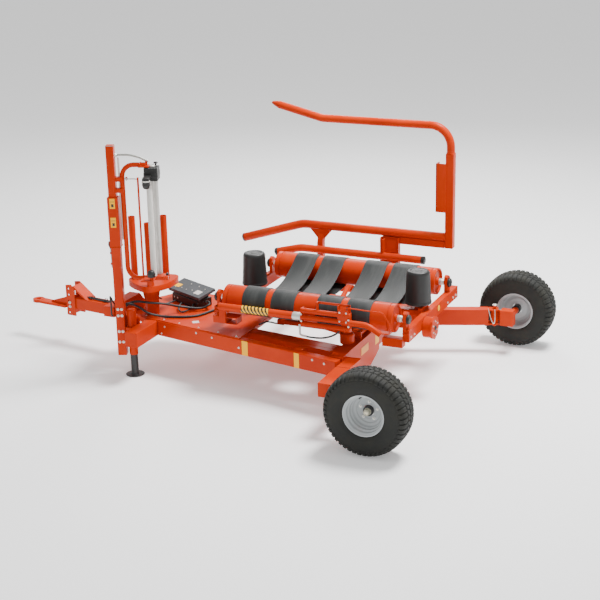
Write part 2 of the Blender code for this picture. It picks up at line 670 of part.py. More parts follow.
def add_tip_frame():
    x, z = TIP_PIVOT
    y = TABLE[1]
    plate = box((x - 0.02, -0.40, 0.497), (-0.30, 0.17, 0.535))
    tube = rod((x, -0.43, z), (x, 0.21, z), TIP_TUBE_RADIUS, 20)
    hinge_pin = rod((x, -0.465, z), (x, 0.245, z), 0.015, 16)
    ring = rod((*TABLE, 0.53), (*TABLE, 0.572), 0.19, 32)
    outline = [(-0.42, 0.51), (-0.29, 0.51), (-0.33, 0.447), (-0.37, 0.447)]
    lugs = [prism(outline, "y", low, low + 0.012) for low in (y - 0.033, y + 0.021)]
    node("tip_frame", "tip_frame", "orange_paint", [plate, tube, hinge_pin, ring, *lugs])
    cylinder("tip_cylinder", "tip", TIP_BASE, TIP_EYE, (0.027, 0.0145), 0.50, (0, 1, 0))


def belt(middle):
    """One belt as a closed band round both rollers, hanging a little between them."""
    x, y = TABLE
    low_x, high_x = x + middle - BELT_WIDTH / 2, x + middle + BELT_WIDTH / 2
    arc_steps, run_steps = 25, 6

    def run(radius, leave):
        """A hanging run's inner points. It leaves each roller this far past its top."""
        reach = ROLLER_SPAN - radius * math.sin(leave)
        spots = []
        for step in range(1, run_steps):
            t = 1 - 2 * step / run_steps
            sag = reach * math.tan(leave) / 2 * (1 - t * t)
            spots.append((reach * t, radius * math.cos(leave) - sag))
        return spots

    def loop(radius):
        spots = []
        start, end = -90 + LOWER_LEAVE, 90 + UPPER_LEAVE
        angles = [math.radians(start + (end - start) * step / arc_steps) for step in range(arc_steps + 1)]
        spots += [(ROLLER_SPAN + radius * math.cos(angle), radius * math.sin(angle)) for angle in angles]
        spots += run(radius, math.radians(UPPER_LEAVE))
        spots += [
            (-ROLLER_SPAN - radius * math.cos(angle), radius * math.sin(angle)) for angle in reversed(angles)
        ]
        spots += [(-across, -height) for across, height in run(radius, -math.radians(LOWER_LEAVE))]
        return [(y + across, ROLLER_HEIGHT + height) for across, height in spots]

    # The rollers are many-sided, so a belt this far off clears their corners
    inner, outer = loop(ROLLER_RADIUS + 0.0006), loop(ROLLER_RADIUS + 0.0006 + BELT_THICKNESS)
    shape = bmesh.new()
    rings = [
        [shape.verts.new((px, *spot)) for px, spot in ((low_x, a), (high_x, a), (high_x, b), (low_x, b))]
        for a, b in zip(inner, outer)
    ]
    for first, second in zip(rings, rings[1:] + rings[:1]):
        for side in range(4):
            after = (side + 1) % 4
            shape.faces.new((first[side], first[after], second[after], second[side]))
    return finished(shape)


def add_turntable():
    x, y = TABLE
    plate = rod((x, y, 0.5723), (x, y, 0.612), 0.17, 32)
    neck = box((x - 0.088, y - 0.10, 0.60), (x + 0.088, y + 0.10, 0.699))
    beam = box((x - BAR_OFFSET + GAP, y - 0.06, 0.652), (x + BAR_OFFSET - GAP, y + 0.06, 0.70))
    ends, posts = [], []
    for side in (-1, 1):
        low_x, high_x = sorted((x + side * 0.825, x + side * (BAR_OFFSET - GAP)))
        ends.append(box((low_x, y - 0.10, 0.60), (high_x, y + 0.10, 0.7345)))
        middle = x + side * ROLLER_HALF_LENGTH
        posts.append(rod((middle, y, 0.69), (middle, y, CONE_BOTTOM + 0.06), 0.017, 14))
        posts.append(rod((middle, y, 0.68), (middle, y, CONE_BOTTOM - 0.005), 0.03, 16))
    node("table_frame", "turntable", "orange_paint", [beam, neck, plate, *ends, *posts])

    shaft_end = BAR_OFFSET + 0.035
    for name, side in (("front", 1), ("rear", -1)):
        low_x, high_x = sorted((x + side * BAR_OFFSET, x + side * (BAR_OFFSET + BAR_THICKNESS)))
        bar = box((low_x, y - 0.73, 0.595), (high_x, y + 0.575, 0.70))
        ear_low, ear_high = sorted((x + side * (BAR_OFFSET + 0.0005), x + side * (BAR_OFFSET + 0.03)))
        ears = []
        for across in (-ROLLER_SPAN, ROLLER_SPAN):
            middle = y + across
            outline = [
                (middle - 0.05, 0.65), (middle + 0.034, 0.65), (middle + 0.034, 0.84), (middle, 0.855),
                (middle - 0.05, 0.83),
            ]
            ears.append(prism(outline, "x", ear_low, ear_high))
        bores = [
            rod(
                (ear_low - 0.02, y + across, ROLLER_HEIGHT), (ear_high + 0.02, y + across, ROLLER_HEIGHT),
                SHAFT_RADIUS + GAP, 16,
            )
            for across in (-ROLLER_SPAN, ROLLER_SPAN)
        ]
        feet = [box((high_x - 0.01, 0.42, 0.55), (-1.43, 0.50, 0.625))] if side < 0 else []
        node("table_" + name + "_bar", "turntable", "orange_paint", [bar, *ears, *feet], cuts=bores)

    for name, across in (("near_roller", ROLLER_SPAN), ("far_roller", -ROLLER_SPAN)):
        spot = (y + across, ROLLER_HEIGHT)
        drum = rod((x - ROLLER_HALF_LENGTH, *spot), (x + ROLLER_HALF_LENGTH, *spot), ROLLER_RADIUS, 40)
        shaft = rod((x - shaft_end, *spot), (x + shaft_end, *spot), SHAFT_RADIUS, 16)
        node(name, "turntable", "orange_paint", [drum, shaft])

    for index, middle in enumerate(reversed(BELT_MIDDLES)):
        node(f"belt_{index + 1}", "turntable", "belt_rubber", [belt(middle)])

    rear = x - BAR_OFFSET - BAR_THICKNESS - GAP
    drum = rod((rear, 0.065, 0.605), (rear - 0.085, 0.065, 0.605), 0.092, 24)
    cap = rod((rear - 0.075, 0.065, 0.605), (rear - 0.093, 0.065, 0.605), 0.105, 8)
    node("drive_housing", "turntable", "orange_paint", [drum, cap])


def add_cutter():
    y, z = CUTTER_Y, CUTTER_HEIGHT
    tube = rod((0.045, y, z), (-0.745, y, z), 0.0325, 20)
    bracket = box((-0.10, 0.4653, 0.592), (0.1285, 0.575, 0.655))
    stay = box((0.0, 0.568, 0.60), (0.06, 0.59, 0.75))
    spots = ((y + 0.012, 0.822), (y + 0.014, 0.764), (y + 0.012, 0.702))
    sleeves = [rod((-0.738, *spot), (-1.195, *spot), 0.0225, 14) for spot in spots]
    plates = [box((low_x, y - 0.025, 0.682), (low_x + 0.014, y + 0.03, 0.842)) for low_x in (-0.757, -1.19)]
    curve = [(-1.18, y + 0.012, z), (-1.345, y + 0.012, z), (-1.465, y + 0.012, z - 0.07)]
    tail = pipe(rounded(curve, 0.18, 6), 0.025, 14)
    shapes = [tube, bracket, stay, plates[0], *sleeves, plates[1], tail]
    node("film_cutter", "turntable", "orange_paint", shapes)


def add_cones():
    height = CONE_TOP - CONE_BOTTOM
    for name, side in (("front", 1), ("rear", -1)):
        profile = [
            (0.0, 0.065), (0.0173, 0.065), (0.0173, 0.0), (
                CONE_BOTTOM_RADIUS, 0.0
            ), (CONE_BOTTOM_RADIUS, 0.02),
            (CONE_TOP_RADIUS, height - 0.02), (CONE_TOP_RADIUS - 0.015, height), (0.0, height),
        ]
        cone = turned(profile, (TABLE[0] + side * ROLLER_HALF_LENGTH, TABLE[1], CONE_BOTTOM), (0, 0, 1), 32)
        node(name + "_cone", name + "_cone", "black_plastic", [cone])


# Loading fork


def add_loader():
    y, z = LOADER_PIVOT
    tube = rod((-0.96, y, z), (0.03, y, z), 0.035, 20)
    stubs = rod((-1.035, y, z), (0.105, y, z), 0.02, 16)
    top = LOWER_TINE_HEIGHT - TINE_RADIUS - GAP
    inner = GUARD_TUBE[0] - GUARD_TUBE_RADIUS - GAP
    outline = [
        (y - 0.025, z - 0.02), (y + 0.03, z + 0.018), (inner, 0.60), (inner, 0.81), (-1.38, top),
        (-1.44, top), (inner - 0.06, 0.82), (inner - 0.06, 0.57),
    ]
    arms = [prism(outline, "x", low_x, high_x) for low_x, high_x in ((-0.885, -0.715), (-0.10, -0.04))]
    x, eye_y, eye_z = LIFT_EYE
    lug_outline = [
        (y - 0.02, z + 0.01), (y + 0.03, z + 0.005), (eye_y + 0.022, eye_z), (eye_y, eye_z + 0.022),
        (eye_y - 0.022, eye_z),
    ]
    lugs = [prism(lug_outline, "x", low_x, low_x + 0.012) for low_x in (x - 0.033, x + 0.021)]
    # The lift cylinder's rod lies in this hollow when the fork is down
    hollow = box((x - 0.0205, y + 0.003, z - 0.06), (x + 0.0205, y + 0.06, z + 0.06))
    node("loader_arms", "loader", "orange_paint", [tube, stubs, *arms, *lugs], cuts=[hollow])

    y, z = GUARD_TUBE
    route = [(-1.175, y, z), (0.12, y, z), (0.39, y, z - 0.07)]
    node(
        "loader_guard_tube", "loader", "orange_paint", [pipe(rounded(route, 0.35, 3), GUARD_TUBE_RADIUS, 16)]
    )

    z = LOWER_TINE_HEIGHT
    route = [(POST_X + 0.0403, FORK_Y, z), (0.14, FORK_Y, z), (0.80, FORK_Y, 0.77)]
    tube = pipe(rounded(route, 0.35, 3), TINE_RADIUS, 14)
    deep = box((POST_X + 0.0413, FORK_Y - 0.04, 0.875), (-0.8925, FORK_Y + 0.04, 0.945))
    node("fork_lower_tine", "loader", "orange_paint", [deep, tube])

    post = box((POST_X - 0.04, FORK_Y - 0.04, 0.875), (POST_X + 0.04, FORK_Y + 0.04, 1.80))
    low_x, inner_y = POST_X + 0.03, FORK_Y + 0.039
    outline = [
        (low_x, inner_y), (low_x, inner_y + 0.012), (POST_X + 0.13, inner_y + 0.012),
        (POST_X + 0.13, inner_y - 0.075), (POST_X + 0.12, inner_y - 0.075), (POST_X + 0.12, inner_y),
    ]
    stop = prism(outline, "z", 1.23, 1.70)
    route = [
        (POST_X, FORK_Y, 1.79), (POST_X, FORK_Y, UPPER_TINE_HEIGHT), (-0.09, FORK_Y, UPPER_TINE_HEIGHT),
        (0.36, FORK_Y, 2.156),
    ]
    tine = pipe(rounded(route, 0.2, 5), UPPER_TINE_RADIUS, 12)
    end = Vector(route[3])
    along = (end - Vector(route[2])).normalized()
    tip = rod(end - along * 0.01, end + along * 0.085, UPPER_TINE_RADIUS - 0.001, 12, end_radius=0.012)
    node("fork_upper_tine", "loader", "orange_paint", [post, stop, tine, tip])

    cylinder("lift_cylinder", "lift", LIFT_BASE, LIFT_EYE, (0.025, 0.0125), 0.34, (1, 0, 0))


clear_scene()
add_pivots()
add_frame()
add_near_axle()
add_drawbar()
add_mast()
add_film_unit()
add_reel_stand()
add_valves()
add_hoses()
add_wheels()
add_far_arm()
add_tip_frame()
add_turntable()
add_cutter()
add_cones()
add_loader()
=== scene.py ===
import json
import math

import bmesh
import bpy
import numpy as np
from mathutils import Matrix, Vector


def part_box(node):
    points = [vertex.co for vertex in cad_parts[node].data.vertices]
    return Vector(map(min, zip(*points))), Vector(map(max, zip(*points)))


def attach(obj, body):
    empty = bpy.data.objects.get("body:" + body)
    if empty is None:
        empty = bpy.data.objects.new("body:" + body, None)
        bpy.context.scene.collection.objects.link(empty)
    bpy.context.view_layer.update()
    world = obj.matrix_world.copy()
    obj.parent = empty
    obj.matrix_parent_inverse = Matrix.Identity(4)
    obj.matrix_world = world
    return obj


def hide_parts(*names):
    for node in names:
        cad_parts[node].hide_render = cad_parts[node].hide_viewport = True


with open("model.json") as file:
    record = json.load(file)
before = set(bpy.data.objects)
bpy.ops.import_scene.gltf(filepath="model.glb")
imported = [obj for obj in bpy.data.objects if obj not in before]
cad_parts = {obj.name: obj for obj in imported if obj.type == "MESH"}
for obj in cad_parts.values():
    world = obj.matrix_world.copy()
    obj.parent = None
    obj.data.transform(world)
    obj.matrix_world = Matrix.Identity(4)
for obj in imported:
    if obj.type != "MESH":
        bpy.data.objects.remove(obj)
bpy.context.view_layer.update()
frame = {"nodes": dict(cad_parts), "record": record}
nodes = frame["nodes"]
bodyOf = {n: b for b, members in frame["record"]["behaviour"]["bodies"].items() for n in members}
slotOf = {row["node"]: row["material_slot"] for row in frame["record"]["subparts"]}
up = np.array([0.0, 0.0, 1.0])


def corners(node):
    # lowest and highest corner of a node, as arrays
    low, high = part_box(node)
    return np.array(low), np.array(high)


def middle(node):
    # halfway between the two corners
    low, high = corners(node)
    return (low + high) / 2


def turnedFrame(origin, degrees):
    # a 4x4 place: turned about Z, standing on the ground at the origin's x and y
    a = math.radians(degrees)
    place = np.eye(4)
    place[:2, :2] = [[math.cos(a), -math.sin(a)], [math.sin(a), math.cos(a)]]
    place[:2, 3] = origin[:2]
    return place


def within(place, points):
    # turned by the place, then shifted to it
    points = np.asarray(points, float)
    return points @ place[:3, :3].T + place[:3, 3]


mastFrame = turnedFrame(middle("mast"), 200)
beamFrame = turnedFrame((-1.1435, 0.8235), -11.1)
drawbarFrame = turnedFrame((1.3125, 0.2215), -8.07)
valveFrame = turnedFrame(middle("valve_block"), 155.6)
armFrame = turnedFrame((-1.16, -0.8455), 200.5)

# shader sheets: a wire wraps a socket, and its operators add Math nodes


class Wire:
    def __init__(self, sheet, socket):
        self.sheet, self.socket = sheet, socket

    def join(self, other, operation, swapped=False):
        pair = (other, self) if swapped else (self, other)
        return self.sheet.add("ShaderNodeMath", {"operation": operation}, {0: pair[0], 1: pair[1]})

    def __add__(self, other):
        return self.join(other, "ADD")

    def __sub__(self, other):
        return self.join(other, "SUBTRACT")

    def __mul__(self, other):
        return self.join(other, "MULTIPLY")

    def __radd__(self, other):
        return self.join(other, "ADD", True)

    def __rsub__(self, other):
        return self.join(other, "SUBTRACT", True)

    def __rmul__(self, other):
        return self.join(other, "MULTIPLY", True)

    def __gt__(self, other):
        return self.join(other, "GREATER_THAN")

    def most(self, other):
        return self.join(other, "MAXIMUM")

    def wrapped(self, size):
        return self.join(size, "MODULO")


class Sheet:
    # one material: its Principled shader, with constants on the shader's own sockets
    def __init__(self, name, colour, roughness, metallic=0.0, coat=0.0, specular=0.5):
        self.material = bpy.data.materials.new(name)
        self.material.use_nodes = True
        self.tree = self.material.node_tree
        self.shader = self.tree.nodes["Principled BSDF"]
        fixed = {
            "Base Color": (*colour, 1.0), "Roughness": roughness, "Metallic": metallic, "Coat Weight": coat,
            "Coat Roughness": 0.12, "Specular IOR Level": specular,
        }
        for socket, value in fixed.items():
            self.shader.inputs[socket].default_value = value

    def add(self, kind, settings=None, inputs=None, output=0):
        node = self.tree.nodes.new(kind)
        for key, value in (settings or {}).items():
            if key == "stops":
                for stop, (place, shade) in zip(node.color_ramp.elements, value):
                    stop.position, stop.color = place, shade
            else:
                setattr(node, key, value)
        for key, value in (inputs or {}).items():
            if isinstance(value, Wire):
                self.tree.links.new(value.socket, node.inputs[key])
            elif value is not None:
                node.inputs[key].default_value = value
        return Wire(self, node.outputs[output])

    def place(self):
        return self.add("ShaderNodeTexCoord", output="Object")

    def facing(self):
        # how far a surface faces up on its own piece, 0 to 1
        normal = self.add("ShaderNodeTexCoord", output="Normal")
        return self.add("ShaderNodeSeparateXYZ", inputs={0: normal}, output=2).most(0.0)

    def noise(self, scale, detail=3.0, roughness=0.5, stretch=(1, 1, 1)):
        spot = self.place()
        if stretch != (1, 1, 1):
            spot = self.add("ShaderNodeMapping", inputs={"Vector": spot, "Scale": stretch})
        settings = {"Vector": spot, "Scale": scale, "Detail": detail, "Roughness": roughness}
        return self.add("ShaderNodeTexNoise", inputs=settings)

    def ramp(self, value, low, high):
        # 0 below low, 1 above high
        return self.add("ShaderNodeMapRange", {"interpolation_type": "SMOOTHSTEP"},
            {"Value": value, "From Min": low, "From Max": high})

    def mix(self, amount, first, second):
        return self.add("ShaderNodeMix", {"data_type": "RGBA"}, {0: amount, 6: first, 7: second}, output=2)

    def feed(self, name, value):
        self.tree.links.new(value.socket, self.shader.inputs[name])

    def bump(self, height, distance, strength=1.0):
        inputs = {"Height": height, "Distance": distance, "Strength": strength}
        self.feed("Normal", self.add("ShaderNodeBump", inputs=inputs))


paint = {
    "orange": (0.5, 0.028, 0.0002, 1), "sunned": (0.6, 0.04, 0.0004, 1), "deep": (0.4, 0.019, 0.0002, 1),
    "dust": (0.44, 0.1, 0.035, 1), "chip": (0.1, 0.035, 0.02, 1), "roughness": 0.3,
}


def makePaint(name, base, sunned, deep, roughness, dustShare):
    # enamel: slow change of tone, dust on what faces up, small chips, a faint orange-peel surface
    sheet = Sheet(name, base[:3], roughness, coat=0.0, specular=0.1)
    tone = sheet.ramp(sheet.noise(2.1, 4.0, 0.55), 0.35, 0.65)
    colour = sheet.mix(tone, deep, sunned)
    colour = sheet.mix(0.55, colour, base)
    dust = sheet.ramp(sheet.noise(9.0, 6.0, 0.62), 0.48, 0.72) * sheet.facing() * dustShare
    colour = sheet.mix(dust, colour, paint["dust"])
    chips = sheet.ramp(sheet.noise(46.0, 2.0, 0.4), 0.735, 0.75) * sheet.ramp(sheet.noise(3.7, 2.0), 0.5, 0.6)
    colour = sheet.mix(chips * 0.7, colour, paint["chip"])
    sheet.feed("Base Color", colour)
    streaks = sheet.noise(7.0, 4.0, 0.6, (1, 1, 0.25))
    sheet.feed("Roughness", roughness - 0.06 + streaks * 0.14 + dust * 0.5 + chips * 0.3)
    sheet.bump(sheet.noise(260.0, 2.0, 0.5) * 0.6 + sheet.noise(24.0, 3.0) - chips, 0.0004, 0.35)
    return sheet.material


def makeTyreRubber():
    # dust lies in slow patches over fine-grained rubber
    sheet = Sheet("tyreRubber", (0.028, 0.029, 0.026), 0.82, specular=0.35)
    dust = sheet.ramp(sheet.noise(6.0, 6.0, 0.65), 0.4, 0.75)
    fine = sheet.noise(120.0, 3.0)
    sheet.feed("Base Color", sheet.mix(dust * 0.55, (0.01, 0.0105, 0.009, 1), (0.04, 0.038, 0.029, 1)))
    sheet.feed("Roughness", 0.72 + dust * 0.2)
    sheet.bump(fine + sheet.noise(30.0, 2.0), 0.0006, 0.5)
    return sheet.material


def makeBeltRubber():
    # woven carcass just showing through smooth rubber, scuffed along the run
    sheet = Sheet("beltRubber", (0.03, 0.032, 0.031), 0.6, specular=0.3)
    spot = sheet.place()
    weave = sheet.add("ShaderNodeTexWave", {"bands_direction": "X"},
        {"Vector": spot, "Scale": 260.0, "Distortion": 0.4})
    weft = sheet.add("ShaderNodeTexWave", {"bands_direction": "Y"},
        {"Vector": spot, "Scale": 200.0, "Distortion": 0.4})
    scuff = sheet.ramp(sheet.noise(5.0, 5.0, 0.6, (3.0, 0.6, 0.6)), 0.42, 0.75)
    sheet.feed("Base Color", sheet.mix(scuff, (0.022, 0.024, 0.0235, 1), (0.045, 0.047, 0.045, 1)))
    sheet.feed("Roughness", 0.52 + scuff * 0.22)
    sheet.bump(weave * 0.5 + weft * 0.5 + sheet.noise(60.0) * 0.6, 0.0003, 0.5)
    return sheet.material


def makePlastic(name, colour, roughness, grain=220.0):
    # moulded grain, paler where dust settles on what faces up
    sheet = Sheet(name, colour, roughness)
    dust = sheet.ramp(sheet.noise(8.0, 5.0, 0.6), 0.5, 0.8) * sheet.facing()
    pale = tuple(min(1.0, c * 1.6 + 0.02) for c in colour)
    sheet.feed("Base Color", sheet.mix(dust * 0.5 + sheet.noise(14.0) * 0.12, (*colour, 1), (*pale, 1)))
    sheet.feed("Roughness", roughness + dust * 0.25 + sheet.noise(40.0) * 0.08)
    sheet.bump(sheet.noise(grain, 2.0), 0.0004, 0.4)
    return sheet.material


def makeMetal(name, colour, roughness, metallic, brushed=(1, 1, 1), scale=60.0):
    # brush marks are noise stretched one way; grime dulls it in patches
    sheet = Sheet(name, colour, roughness, metallic)
    grime = sheet.ramp(sheet.noise(7.0, 5.0, 0.6), 0.45, 0.8)
    brush = sheet.noise(scale, 3.0, 0.6, brushed)
    dull = tuple(c * 0.62 for c in colour)
    sheet.feed("Base Color", sheet.mix(grime * 0.45, (*colour, 1), (*dull, 1)))
    sheet.feed("Roughness", roughness + grime * 0.18 + brush * 0.12)
    sheet.bump(brush, 0.0003, 0.3)
    return sheet.material


def makeHazard():
    # slanted bars: x plus height, wrapped to the pitch, split in half
    sheet = Sheet("hazardBand", (0.85, 0.62, 0.02), 0.35)
    spot = sheet.place()
    across = sheet.add("ShaderNodeSeparateXYZ", inputs={0: spot}, output=0)
    height = sheet.add("ShaderNodeSeparateXYZ", inputs={0: spot}, output=2)
    bars = (across * -1.0 + height * 0.6 + 2.0).wrapped(0.034) > 0.017
    sheet.feed("Base Color", sheet.mix(bars, (0.92, 0.48, 0.006, 1), (0.012, 0.012, 0.011, 1)))
    sheet.feed("Roughness", 0.3 + sheet.noise(30.0) * 0.2)
    sheet.bump(sheet.noise(90.0), 0.0002, 0.3)
    return sheet.material


def makeSticker(name, colour, worn):
    # film whose colour gives way to the worn one in small patches
    sheet = Sheet(name, colour[:3], 0.32, coat=0.05, specular=0.15)
    wear = sheet.ramp(sheet.noise(70.0, 4.0, 0.6), 0.56, 0.74)
    sheet.feed("Base Color", sheet.mix(wear * 0.5, colour, worn))
    sheet.feed("Roughness", 0.28 + wear * 0.3)
    sheet.bump(sheet.noise(120.0), 0.0002, 0.25)
    return sheet.material


finishes = {
    "orange": makePaint("orangeEnamel", paint["orange"], paint["sunned"], paint["deep"], paint["roughness"],
        0.25),
    "silver": makePaint("silverWheelPaint", (0.42, 0.44, 0.45, 1), (0.5, 0.52, 0.53, 1), (0.33, 0.35, 0.35, 1),
        0.26, 0.1),
    "tyre": makeTyreRubber(),
    "belt": makeBeltRubber(),
    "black": makePlastic("blackPlastic", (0.006, 0.006, 0.0055), 0.42),
    "soot": makePlastic("blackPaint", (0.012, 0.012, 0.012), 0.35, 90.0),
    "grey": makePlastic("greyCover", (0.045, 0.047, 0.052), 0.5, 160.0),
    "white": makePlastic("whiteRoller", (0.62, 0.61, 0.57), 0.4, 120.0),
    "rubber": makePlastic("hoseRubber", (0.013, 0.013, 0.013), 0.5, 300.0),
    "hub": makeMetal("hubCapZinc", (0.62, 0.58, 0.44), 0.38, 0.75),
    "zinc": makeMetal("zincPlate", (0.68, 0.67, 0.62), 0.34, 0.85),
    "chrome": makeMetal("pistonChrome", (0.75, 0.75, 0.76), 0.12, 1.0),
    "alu": makeMetal("flutedAluminium", (0.66, 0.65, 0.62), 0.34, 0.9, (1, 1, 0.1)),
    "steel": makeMetal("bareSteel", (0.36, 0.36, 0.33), 0.42, 0.9),
    "hazard": makeHazard(),
    "yellow": makeSticker("yellowFilm", (0.98, 0.48, 0.001, 1), (0.7, 0.27, 0.004, 1)),
    "pale": makeSticker("paleLabel", (0.62, 0.58, 0.55, 1), (0.55, 0.36, 0.34, 1)),
    "amber": makeSticker("amberReflector", (0.8, 0.3, 0.03, 1), (0.72, 0.2, 0.02, 1)),
}
cadFinish = {
    "orange_paint": "orange", "silver_paint": "silver", "black_steel": "soot", "bright_steel": "chrome",
    "aluminium": "alu", "tyre_rubber": "tyre", "belt_rubber": "belt", "hose_rubber": "rubber",
    "black_plastic": "black", "grey_plastic": "grey",
}
print("finishes made")

# meshes from arrays


def placed(name, data):
    # an object that stands at the origin, with its place in its data
    thing = bpy.data.objects.new(name, data)
    bpy.context.scene.collection.objects.link(thing)
    return thing


def dressed(name, mesh, body, finish, stands=None, sharp=40):
    # a piece takes the finish it is given; one that stands in for a node hides that node
    mesh.materials.append(finishes[finish])
    if sharp:
        mesh.shade_smooth()
        mesh.set_sharp_from_angle(angle=math.radians(sharp))
    piece = placed(name, mesh)
    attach(piece, body)
    if stands:
        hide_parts(stands)
    return piece


def makePiece(name, points, faces, body, finish, **more):
    # a mesh of points and faces, ridden by its body
    mesh = bpy.data.meshes.new(name)
    mesh.from_pydata(np.asarray(points, float).reshape(-1, 3).tolist(), [], [list(map(int, f)) for f in faces])
    return dressed(name, mesh, body, finish, **more)


def reworked(source, target, work):
    # runs the work on a mesh's faces and writes the result to the target mesh
    shape = bmesh.new()
    shape.from_mesh(source)
    work(shape)
    shape.to_mesh(target)
    shape.free()


def gridFaces(rows, columns, closedRows=False, closedColumns=True):
    # quads between neighbouring rows and columns of a grid of points
    r = np.arange(rows if closedRows else rows - 1)
    c = np.arange(columns if closedColumns else columns - 1)
    r, c = (a.ravel() for a in np.meshgrid(r, c, indexing="ij"))
    nextRow, nextColumn = (r + 1) % rows, (c + 1) % columns
    return np.stack([r * columns + c, r * columns + nextColumn, nextRow * columns + nextColumn,
        nextRow * columns + c], 1)


def endCaps(rows, columns):
    # one many-sided face on each end of a grid of rings
    return [list(range(columns))[::-1], list(range((rows - 1) * columns, rows * columns))]


def softened(profile, cut=0.003, steps=3):
    # each inner corner of an open outline becomes a short curve: a quadratic blend of its two neighbours
    p = np.asarray(profile, float)
    before, corner, after = p[:-2], p[1:-1], p[2:]
    reachIn = np.minimum(cut, 0.45 * np.linalg.norm(corner - before, axis=1))[:, None]
    reachOut = np.minimum(cut, 0.45 * np.linalg.norm(after - corner, axis=1))[:, None]
    start = corner - (corner - before) / np.linalg.norm(corner - before, axis=1)[:, None] * reachIn
    end = corner + (after - corner) / np.linalg.norm(after - corner, axis=1)[:, None] * reachOut
    t = np.linspace(0, 1, steps + 1)[None, :, None]
    curve = (1 - t) ** 2 * start[:, None] + 2 * t * (1 - t) * corner[:, None] + t**2 * end[:, None]
    return np.concatenate([p[:1], curve.reshape(-1, p.shape[1]), p[-1:]])


def axisTurn(axis):
    # three columns: two across the axis, then the axis itself
    axis = np.asarray(axis, float) / np.linalg.norm(axis)
    across = np.cross(up if abs(axis[2]) < 0.9 else np.array([1.0, 0, 0]), axis)
    across /= np.linalg.norm(across)
    return np.stack([across, np.cross(axis, across), axis], 1)


def turnedGrid(profile, centre, axis, around=64):
    # a (radius, height) outline turned about the axis; it starts and ends on the axis, or closes on itself
    profile = np.asarray(profile, float)
    angle = np.linspace(0, 2 * np.pi, around, endpoint=False)
    spots = np.stack([profile[:, :1] * np.cos(angle), profile[:, :1] * np.sin(angle),
        np.repeat(profile[:, 1:], around, 1)], -1)
    return spots @ axisTurn(axis).T + np.asarray(centre, float)


def headOutline(radius, wall, top, height):
    # a pin's or plug's head: a straight wall, then a chamfer up to a flat top
    return [(0, 0), (radius, 0), (radius, wall), (top, height), (0, height)]


def ringOutline(inner, outer, low, high):
    # a closed square section, for a ring
    return [(inner, low), (outer, low), (outer, high), (inner, high), (inner, low)]


def turnedPiece(name, profile, centre, axis, body, finish, cut=0.003, around=64, **more):
    # outline points run from the axis, round the outside and back to it; the poles are single fans
    outline = softened(profile, cut)
    onAxis = outline[:, 0] < 1e-9
    grid = turnedGrid(outline[~onAxis], centre, axis, around)
    rows = len(grid)
    points = grid.reshape(-1, 3)
    faces = gridFaces(rows, around, closedRows=not onAxis.any()).tolist()
    if onAxis.any():
        ends = turnedGrid(outline[onAxis], centre, axis, 1).reshape(-1, 3)
        points = np.concatenate([points, ends[[0, -1]]])
        k = np.arange(around)
        first = np.stack([np.full(around, rows * around), (k + 1) % around, k], 1)
        last = np.stack([np.full(around, rows * around + 1), (rows - 1) * around + k,
            (rows - 1) * around + (k + 1) % around], 1)
        faces += first.tolist() + last.tolist()
    return outward(makePiece(name, points, faces, body, finish, **more))


def outward(piece):
    # recalculates the faces so that they point out
    mesh = piece.data
    reworked(mesh, mesh, lambda shape: bmesh.ops.recalc_face_normals(shape, faces=shape.faces))
    mesh.set_sharp_from_angle(angle=math.radians(40))
    return piece


def bentRoute(points, radius, steps=8):
    # straight runs joined by arcs, sampled evenly in angle at each corner
    p = np.asarray(points, float)
    route = [p[:1]]
    for before, corner, after in zip(p, p[1:], p[2:]):
        a = (before - corner) / np.linalg.norm(before - corner)
        b = (after - corner) / np.linalg.norm(after - corner)
        half = math.acos(np.clip(a @ b, -1, 1)) / 2
        centre = corner + (a + b) / np.linalg.norm(a + b) * radius / math.sin(half)
        reach = radius / math.tan(half)
        start, end = corner + a * reach - centre, corner + b * reach - centre
        swing = math.pi - 2 * half
        t = np.linspace(0, 1, steps + 1)[:, None]
        route.append(centre + (np.sin((1 - t) * swing) * start + np.sin(t * swing) * end) / math.sin(swing))
    return np.concatenate([*route, p[-1:]])


def easyRoute(points, steps=10):
    # Catmull-Rom: each stretch is a cubic whose slope at a point is half the step past it
    p = np.asarray(points, float)
    p = np.concatenate([2 * p[:1] - p[1:2], p, 2 * p[-1:] - p[-2:-1]])
    t = np.linspace(0, 1, steps, endpoint=False)[None, :, None]
    a, b, c, d = (p[i: len(p) - 3 + i][:, None] for i in range(4))
    curve = (2 * b + (c - a) * t + (2 * a - 5 * b + 4 * c - d) * t**2 + (3 * b - a - 3 * c + d) * t**3) / 2
    return np.concatenate([curve.reshape(-1, 3), p[-2:-1]])


